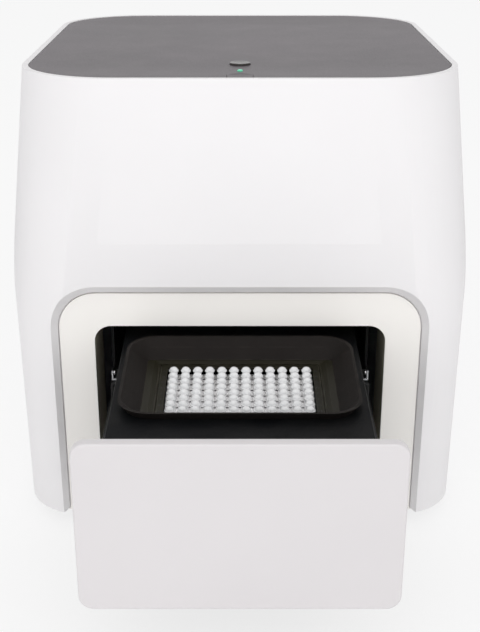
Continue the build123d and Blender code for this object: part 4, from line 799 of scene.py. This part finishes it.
class PCR_OT_drawer_front(bpy.types.Operator):
    """Model the door with its rounded edge and the sleeve behind the opening"""
    bl_idname = "pcr.drawer_front"
    bl_label = "Door and sleeve"

    def execute(self, context):
        low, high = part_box("door_panel")
        door = cuboid("door_front", low, high)
        bevel(door, runs_along(1), DOOR_CORNER, 14)
        bevel(door, sharp_to(1, low.y + NEAR), context.scene.pcr_sizes.door_edge, 5)
        bevel(door, sharp_from(1, high.y - NEAR), DOOR_BACK_EDGE, 2)
        done(door, "drawer", "door white", "door_panel")

        low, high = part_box("drawer_tunnel")
        sleeve = cuboid(
            "drawer_sleeve", (-SLEEVE_HALF, low.y, SLEEVE_LOW), (SLEEVE_HALF, high.y, SLEEVE_HIGH))
        bevel(sleeve, runs_along(1), SLEEVE_CORNER, 12)
        pick(sleeve, "FACE", lambda face: abs(face.normal.y) > 0.99)
        bpy.ops.mesh.delete(type="FACE")
        leave()
        pick(sleeve, "EDGE", lambda edge: edge.is_boundary and edge.verts[0].co.y < low.y + NEAR)
        bpy.ops.mesh.extrude_edges_move(TRANSFORM_OT_translate={"value": (0, 0, 0)})
        height = SLEEVE_HIGH - SLEEVE_LOW
        bpy.ops.transform.resize(
            value=((SLEEVE_HALF + FLANGE_WIDTH) / SLEEVE_HALF, 1, (height + 2 * FLANGE_WIDTH) / height),
            center_override=(0, low.y, (SLEEVE_LOW + SLEEVE_HIGH) / 2))
        leave()
        modify(sleeve, "SOLIDIFY", thickness=SLEEVE_WALL, offset=1)
        # The sleeve's finish is painted shade and reflection on cream plastic.
        done(sleeve, "chassis", "tunnel olive", "drawer_tunnel")
        return {"FINISHED"}


# Half widths and half depths of the outlines that are centred on the block
COVER_WINDOW, RIM_STEM = (0.0775, 0.0554), (0.0771, 0.055)
RIM_FOOT, RIM_TOP = (0.081, 0.0595), (0.0845, 0.063)
FUNNEL_MOUTH, FUNNEL_THROAT = (0.0827, 0.0612), (0.0695, 0.047)
COVER_CORNER, COVER_EDGE, COVER_WALL, COVER_DEPTH = 0.003, 0.0015, 0.0019, 0.0148
RIM_HEIGHT, RIM_CORNER, RIM_LIP_EDGE, RIM_DEPTH = 0.006, 0.0215, 0.0007, 0.013
WINDOW_CORNER, STEM_CORNER, FUNNEL_CORNER = 0.0128, 0.013, 0.0232
THROAT_CORNER_SHARE = 0.12


def block_plate(name, half, low, high, corner, segments=12):
    """A plate with round corners, centred on the block, between two heights."""
    return plate(name, (-half[0], BLOCK_Y - half[1], low), (half[0], BLOCK_Y + half[1], high), 2, corner, 0,
                 segments)


def resize_face(piece, side, before, after, height):
    """Widens or narrows the top or bottom face of a shape that is centred on the block."""
    pick(piece, "FACE", faces_along(2, side))
    bpy.ops.transform.resize(
        value=(after[0] / before[0], after[1] / before[1], 1), center_override=(0, BLOCK_Y, height))
    leave()


class PCR_OT_drawer_top(bpy.types.Operator):
    """Model the drawer's black cover and the soft rim round the samples"""
    bl_idname = "pcr.drawer_top"
    bl_label = "Drawer cover and rim"

    def execute(self, context):
        low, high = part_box("drawer_cover")
        cover = cuboid("drawer_lid", low, high)
        bevel(cover, lambda edge: runs_along(2)(edge) and edge.verts[0].co.y > low.y + 0.01, COVER_CORNER, 6)
        bevel(cover, sharp_over(high.z - NEAR), COVER_EDGE, 4)
        work_inwards(cover, -1, [(COVER_WALL, 0), (0, -COVER_DEPTH)])
        leave()
        window = block_plate("window", COVER_WINDOW, low.z - 0.01, high.z + 0.01, WINDOW_CORNER)
        combine(cover, window, "DIFFERENCE")
        done(cover, "drawer", "cover black", "drawer_cover")

        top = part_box("sample_rim")[1].z
        foot = top - RIM_HEIGHT
        rim = block_plate("soft_rim", RIM_FOOT, foot, top, RIM_CORNER, 16)
        resize_face(rim, 1, RIM_FOOT, RIM_TOP, top)
        stem = block_plate("stem", RIM_STEM, top - RIM_DEPTH, foot + 0.001, STEM_CORNER)
        combine(rim, stem, "UNION")
        combine(rim, funnel(top), "DIFFERENCE")
        bevel(rim, sharp_over(top - 0.0005), RIM_LIP_EDGE, 3)
        done(rim, "drawer", "rim black", "sample_rim")
        return {"FINISHED"}


def funnel(top):
    """The hollow of the rim: a small, nearly square throat that opens out to a wide round mouth."""
    bottom = top - RIM_DEPTH - OVERLAP
    hollow = block_plate("funnel", FUNNEL_MOUTH, bottom, top + OVERLAP, FUNNEL_CORNER, 16)
    for side_x in (-1, 1):
        for side_y in (-1, 1):
            pick(hollow, "VERT", lambda vert: (
                vert.co.z < bottom + NEAR and vert.co.x * side_x > 0 and (vert.co.y - BLOCK_Y) * side_y > 0))
            corner = (side_x * FUNNEL_MOUTH[0], BLOCK_Y + side_y * FUNNEL_MOUTH[1], bottom)
            bpy.ops.transform.resize(
                value=(THROAT_CORNER_SHARE, THROAT_CORNER_SHARE, 1), center_override=corner)
            leave()
    resize_face(hollow, -1, FUNNEL_MOUTH, FUNNEL_THROAT, bottom)
    return hollow


FRAME_WINDOW_HALF, FRAME_REACH, FRAME_THICKNESS = 0.0544, 0.0155, 0.005
FRAME_STEPS = ((0.0052, 0), (0.0036, -0.0018), (0.0009, 0), (0.0002, -0.0012), (0.0007, 0), (0.0002, 0.001),
               (0.0047, 0))
POST_SIDE, POST_INSET = 0.008, 0.004
LETTER_X, LETTER_DROP, LETTER_THICKNESS = 0.0565, 0.002, 0.00008
RELIEF_RADIUS, RELIEF_DEPTH, RELIEF_SIDES = 0.0011, 0.004, 12
TUBE_RADIUS, LIP_RADIUS, LIP_HEIGHT, LIP_THICKNESS = 0.0029, 0.0037, 0.0048, 0.0006
DOME_STEPS = ((0.0004, 0.0002), (0.0003, 0.001), (0.0005, 0.0006), (0.0008, 0.0005), (0.001, 0.0003))


def row_y(row):
    """The place of a row of wells: row A is at the back."""
    return BLOCK_Y + WELL_PITCH * ((ROWS - 1) / 2 - row)


def lettered_frame():
    """The frame round the block: a slope and a groove with mitred corners, on four posts."""
    low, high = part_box("block_frame")
    outer = FRAME_WINDOW_HALF + FRAME_REACH
    inset = cuboid("lettered_frame", (-outer, low.y, high.z - FRAME_THICKNESS), (outer, high.y, high.z))
    ring(inset, FRAME_STEPS, [(FRAME_REACH, 0)])
    pick(inset, "VERT", lambda vert: abs(vert.co.x) > outer - OVERLAP)
    bpy.ops.transform.resize(value=(high.x / outer, 1, 1), center_override=(0, BLOCK_Y, low.z))
    leave()
    for x in (low.x + POST_INSET, high.x - POST_INSET - POST_SIDE):
        for y in (low.y + POST_INSET, high.y - POST_INSET - POST_SIDE):
            post = cuboid("post", (x, y, low.z), (x + POST_SIDE, y + POST_SIDE, high.z - 0.004))
            combine(inset, post, "UNION")
    return inset


def row_letters(height, top):
    """The letters A to H printed on both sides of the rows, as one piece."""
    letters = []
    for side in (-1, 1):
        for row, letter in enumerate("ABCDEFGH"):
            deselect()
            bpy.ops.object.text_add(location=(side * LETTER_X, row_y(row), top))
            text = bpy.context.object
            text.data.body = letter
            text.data.size = height
            text.data.align_x = "CENTER"
            text.data.align_y = "CENTER"
            text.data.extrude = LETTER_THICKNESS
            bpy.ops.object.convert(target="MESH")
            bpy.ops.object.transform_apply(location=True, rotation=True, scale=True)
            letters.append(bpy.context.object)
    joined(letters[0], letters)
    letters[0].name = "row_letters"
    return letters[0]


def alloy_block():
    """The block with its small relief holes between the wells."""
    block = cuboid("alloy_block", BLOCK_LOW, BLOCK_HIGH)
    bevel(block, sharp_over(BLOCK_HIGH.z - NEAR), 0.0006, 2)
    holes = cylinder("relief", (0, 0, BLOCK_HIGH.z - RELIEF_DEPTH), RELIEF_RADIUS, 0.006, sides=RELIEF_SIDES)
    start = (-WELL_PITCH * (COLUMNS - 2) / 2, BLOCK_Y - WELL_PITCH * (ROWS - 2) / 2, 0)
    holes = placed(holes, Matrix.Translation(start))
    repeat(holes, [
        (WELL_PITCH * column, WELL_PITCH * row, 0)
        for column in range(COLUMNS - 1) for row in range(ROWS - 1) if column or row])
    combine(block, holes, "DIFFERENCE")
    return block


def capped_tubes(sides):
    """The tubes' tops: a straight body, a thin wide lip and a domed cap on each, 12 by 8 of them."""
    x, y = -WELL_PITCH * (COLUMNS - 1) / 2, row_y(0)
    lip = BLOCK_HIGH.z + LIP_HEIGHT
    tube = cylinder("capped_tubes", (x, y, lip), LIP_RADIUS, LIP_THICKNESS, sides=sides)
    for step in DOME_STEPS:
        work_inwards(tube, 1, [step])
        leave()
    body = cylinder("body", (x, y, BLOCK_HIGH.z), TUBE_RADIUS, LIP_HEIGHT + OVERLAP, sides=sides)
    combine(tube, body, "UNION")
    repeat(tube, [
        (WELL_PITCH * column, -WELL_PITCH * row, 0)
        for column in range(COLUMNS) for row in range(ROWS) if column or row])
    return tube


class PCR_OT_sample_plate(bpy.types.Operator):
    """Model the lettered frame, the block with its relief holes and the capped tubes"""
    bl_idname = "pcr.sample_plate"
    bl_label = "Sample plate"

    def execute(self, context):
        sizes = context.scene.pcr_sizes
        done(lettered_frame(), "drawer", "inset olive", "block_frame", 20)
        letters = row_letters(sizes.letter_height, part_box("block_frame")[1].z - LETTER_DROP)
        done(letters, "drawer", "letter black")
        done(alloy_block(), "drawer", "block alloy", "sample_block")
        done(capped_tubes(sizes.tube_sides), "drawer", "frosted clear", "tube_caps")
        return {"FINISHED"}


HEAD_ROUNDING, CROSS_DEPTH, CROSS_REACH, CROSS_WIDTH = 0.45, 0.6, 0.6, 0.12
CLAMP_WALL, CLAMP_LENGTH, CLAMP_HEIGHT, TAB_LENGTH, TAB_HEIGHT = 0.002, 0.018, 0.0003, 0.008, 0.0095
CLAMP_SCREW_RADIUS, CLAMP_SCREW_HEAD, CLAMP_SCREW_HEIGHT = 0.0024, 0.0016, 0.0062
RAIL_SCREW_RADIUS, RAIL_SCREW_HEAD, RAIL_SCREW_PITCH, RAIL_HEIGHT = 0.0032, 0.0016, 0.055, 0.1
REAR_SCREW_RADIUS, REAR_SCREW_HEAD = 0.003, 0.0015


def screw_head(name, centre, radius, height, axis, sign):
    """A low round head with a cross recess, standing out along an axis."""
    head = cylinder(name, centre, radius, sign * height, axis, 24)
    far = centre[axis] + sign * height
    bevel(head, lambda edge: sharp(edge) and all(abs(v.co[axis] - far) < 0.0001 for v in edge.verts),
          height * HEAD_ROUNDING, 3)
    for long in [a for a in (0, 1, 2) if a != axis]:
        low, high = Vector(centre), Vector(centre)
        for a in (0, 1, 2):
            half = radius * (CROSS_REACH if a == long else CROSS_WIDTH)
            low[a] -= half
            high[a] += half
        low[axis], high[axis] = sorted((far - sign * height * CROSS_DEPTH, far + sign * height))
        combine(head, cuboid("recess", low, high), "DIFFERENCE")
    return head


def done_on_both_sides(piece, body, finish):
    """Finishes a piece of the right slide and its mirrored copy on the left."""
    left = mirrored(piece, piece.name.replace("right", "left"))
    done(piece, body, finish)
    done(left, body, finish)


class PCR_OT_slides(bpy.types.Operator):
    """Model the clamps and screws of the drawer's slides"""
    bl_idname = "pcr.slides"
    bl_label = "Drawer slides"

    def execute(self, context):
        low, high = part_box("slide_outer_right")
        front, outer, seat = low.y + 0.004, high.x - 0.0005, high.z + CLAMP_HEIGHT
        tab_face = high.x - 0.0022
        clamp = cuboid("slide_clamp_right", (low.x + 0.004, front, seat),
                       (outer, front + CLAMP_LENGTH, seat + CLAMP_WALL))
        tab = cuboid("tab", (tab_face, front, seat), (outer, front + TAB_LENGTH, high.z + TAB_HEIGHT))
        combine(clamp, tab, "UNION")
        soften(clamp, 0.0004)
        screw = screw_head(
            "clamp_screw_right", (tab_face, front + TAB_LENGTH / 2, high.z + CLAMP_SCREW_HEIGHT),
            CLAMP_SCREW_RADIUS, CLAMP_SCREW_HEAD, 0, -1)
        done_on_both_sides(clamp, "chassis", "zinc sheet")
        done_on_both_sides(screw, "chassis", "ground steel")

        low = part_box("slide_inner_right")[0]
        screws = screw_head("rail_screws_right", (low.x + 0.0015, low.y + 0.02, RAIL_HEIGHT),
                            RAIL_SCREW_RADIUS, RAIL_SCREW_HEAD, 0, 1)
        repeat(screws, [(0, RAIL_SCREW_PITCH * step, 0) for step in (1, 2, 3)])
        done_on_both_sides(screws, "drawer", "ground steel")
        return {"FINISHED"}


class PCR_OT_rear(bpy.types.Operator):
    """Model the rear screws, the mains inlet with its rocker and the data ports"""
    bl_idname = "pcr.rear"
    bl_label = "Rear"

    def execute(self, context):
        low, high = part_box("panel_screws")
        radius = REAR_SCREW_RADIUS
        screws = screw_head(
            "rear_screws", (low.x + radius, low.y, low.z + radius), radius, REAR_SCREW_HEAD, 1, 1)
        to_corners(screws, (high.x - low.x - 2 * radius, 0, 0), (0, 0, high.z - low.z - 2 * radius))
        done(screws, "chassis", "ground steel", "panel_screws")

        for node, name, body, finish, edge, segments in (
            ("power_entry", "mains_entry", "chassis", "black moulding", 0.0004, 2),
            ("power_rocker", "rocker_cap", "rocker", "key black", 0.0005, 3),
            ("power_pins", "mains_pins", "chassis", "brass", 0.0004, 2),
            ("data_ports", "port_shells", "chassis", "zinc sheet", 0.0003, 2),
        ):
            piece = merged(node, name)
            soften(piece, edge, segments)
            done(piece, body, finish, node)
        return {"FINISHED"}


FOOT_RADIUS, FOOT_EDGE = 0.012, 0.0015


class PCR_OT_feet(bpy.types.Operator):
    """Model the four rubber feet"""
    bl_idname = "pcr.feet"
    bl_label = "Feet"

    def execute(self, context):
        low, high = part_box("feet")
        radius = FOOT_RADIUS
        feet = cylinder("rubber_feet", (low.x + radius, low.y + radius, low.z), radius, high.z - low.z)
        bevel(feet, sharp_to(2, NEAR), FOOT_EDGE, 4)
        work_inwards(feet, -1, [(0.003, 0), (0.0006, -0.0008)])
        leave()
        to_corners(feet, (high.x - low.x - 2 * radius, 0, 0), (0, high.y - low.y - 2 * radius, 0))
        done(feet, "chassis", "foot rubber", "feet")
        return {"FINISHED"}


# Studio

SENSOR_WIDTH = 36.0
FLOOR_GLOW = 0.75
# Each lamp: its name, place, the height it points at, its size and the setting of its power
LAMPS = (
    ("key", (0, -1.3, 1.9), 0.15, (2.2, 1.2), "key_power"),
    ("front", (0, -2.4, 0.4), 0.15, (2.4, 0.8), "front_power"),
    ("fill_left", (-1.8, -0.7, 0.8), 0.18, (1.4, 1.4), "fill_power"),
    ("fill_right", (1.8, -0.7, 0.8), 0.18, (1.4, 1.4), "fill_power"),
    ("rear", (0, 1.9, 1.3), 0.2, (1.8, 1.2), "fill_power"),
)


def seen_directly(tree):
    """1 where the camera sees a surface directly, in a reflection or through glass."""
    path = tree.nodes.new("ShaderNodeLightPath")
    seen = add_math(tree, "MAXIMUM", path.outputs["Is Camera Ray"], path.outputs["Is Transmission Ray"])
    return add_math(tree, "MAXIMUM", seen, path.outputs["Is Glossy Ray"])


def floor_material():
    """The white floor: brightened to paper white where it is seen, with its shadow kept."""
    material = bpy.data.materials.new("floor white")
    material.use_nodes = True
    tree = material.node_tree
    shader = tree.nodes["Principled BSDF"]
    shader.inputs["Base Color"].default_value = (0.93, 0.93, 0.935, 1)
    shader.inputs["Roughness"].default_value = 0.9
    glow = tree.nodes.new("ShaderNodeEmission")
    glow.inputs["Strength"].default_value = 1.0
    mix = tree.nodes.new("ShaderNodeMixShader")
    tree.links.new(add_math(tree, "MULTIPLY", seen_directly(tree), FLOOR_GLOW), mix.inputs["Fac"])
    tree.links.new(shader.outputs[0], mix.inputs[1])
    tree.links.new(glow.outputs[0], mix.inputs[2])
    tree.links.new(mix.outputs[0], tree.nodes["Material Output"].inputs["Surface"])
    return material


def area_light(name, place, target_height, size, power):
    light = bpy.data.lights.new(name, "AREA")
    light.shape = "RECTANGLE"
    light.size, light.size_y = size
    light.energy = power
    lamp = bpy.data.objects.new(name, light)
    lamp.location = place
    lamp.rotation_euler = (Vector((0, 0, target_height)) - Vector(place)).to_track_quat("-Z", "Y").to_euler()
    bpy.context.scene.collection.objects.link(lamp)


def studio_world(strength):
    """An even white surround: full white to the camera and in reflections, softer as light on the object."""
    world = bpy.data.worlds.new("Studio surround")
    bpy.context.scene.world = world
    world.use_nodes = True
    tree = world.node_tree
    tree.nodes.clear()
    lit, shown = tree.nodes.new("ShaderNodeBackground"), tree.nodes.new("ShaderNodeBackground")
    lit.inputs["Strength"].default_value = strength
    shown.inputs["Strength"].default_value = 1.0
    for background in (lit, shown):
        background.inputs["Color"].default_value = (1, 1, 1, 1)
    mix = tree.nodes.new("ShaderNodeMixShader")
    output = tree.nodes.new("ShaderNodeOutputWorld")
    tree.links.new(seen_directly(tree), mix.inputs["Fac"])
    tree.links.new(lit.outputs[0], mix.inputs[1])
    tree.links.new(shown.outputs[0], mix.inputs[2])
    tree.links.new(mix.outputs[0], output.inputs["Surface"])


class PCR_OT_studio(bpy.types.Operator):
    """Set up the floor, the lights and the camera at the photograph's viewing angle"""
    bl_idname = "pcr.studio"
    bl_label = "Studio"

    def execute(self, context):
        studio = context.scene.pcr_studio
        deselect()
        bpy.ops.mesh.primitive_plane_add(size=12, location=(0, 0, -0.0002))
        floor = context.object
        floor.name = "studio_floor"
        floor.data.materials.append(floor_material())
        for name, place, target_height, size, power in LAMPS:
            area_light(name, place, target_height, size, getattr(studio, power))
        studio_world(studio.sky_strength)
        camera = bpy.data.cameras.new("Photograph view")
        camera.lens = studio.lens
        camera.sensor_width = SENSOR_WIDTH
        camera.shift_y = studio.camera_shift
        view = bpy.data.objects.new("Photograph view", camera)
        view.location = (0, -studio.camera_distance, studio.camera_height)
        view.rotation_euler = (math.pi / 2 - studio.camera_pitch, 0, 0)
        context.scene.collection.objects.link(view)
        context.scene.camera = view
        context.scene.view_settings.view_transform = "Standard"
        return {"FINISHED"}


PIECE_OPERATORS = (
    PCR_OT_finishes, PCR_OT_housing, PCR_OT_top_panel, PCR_OT_controls, PCR_OT_drawer_front,
    PCR_OT_drawer_top, PCR_OT_sample_plate, PCR_OT_slides, PCR_OT_rear, PCR_OT_feet, PCR_OT_studio,
)


class PCR_PT_instrument(bpy.types.Panel):
    """The instrument's sizes, colours and building steps"""
    bl_idname = "PCR_PT_instrument"
    bl_label = "PCR instrument"
    bl_space_type = "VIEW_3D"
    bl_region_type = "UI"
    bl_category = "PCR"

    def draw(self, context):
        for heading, group in (
                ("Sizes", "pcr_sizes"), ("Finishes", "pcr_finishes"), ("Studio", "pcr_studio")):
            box = self.layout.box()
            box.label(text=heading)
            settings = getattr(context.scene, group)
            for key in settings.__annotations__:
                box.prop(settings, key)
        for operator in PIECE_OPERATORS:
            self.layout.operator(operator.bl_idname)


CLASSES = (PCR_PG_finishes, PCR_PG_sizes, PCR_PG_studio, *PIECE_OPERATORS, PCR_PT_instrument)


def register():
    for cls in CLASSES:
        bpy.utils.register_class(cls)
    bpy.types.Scene.pcr_finishes = PointerProperty(type=PCR_PG_finishes)
    bpy.types.Scene.pcr_sizes = PointerProperty(type=PCR_PG_sizes)
    bpy.types.Scene.pcr_studio = PointerProperty(type=PCR_PG_studio)


def unregister():
    del bpy.types.Scene.pcr_studio
    del bpy.types.Scene.pcr_sizes
    del bpy.types.Scene.pcr_finishes
    for cls in reversed(CLASSES):
        bpy.utils.unregister_class(cls)


def main():
    register()
    for operator in PIECE_OPERATORS:
        group, name = operator.bl_idname.split(".")
        getattr(getattr(bpy.ops, group), name)()
    bpy.context.view_layer.update()


if __name__ == "__main__":
    main()
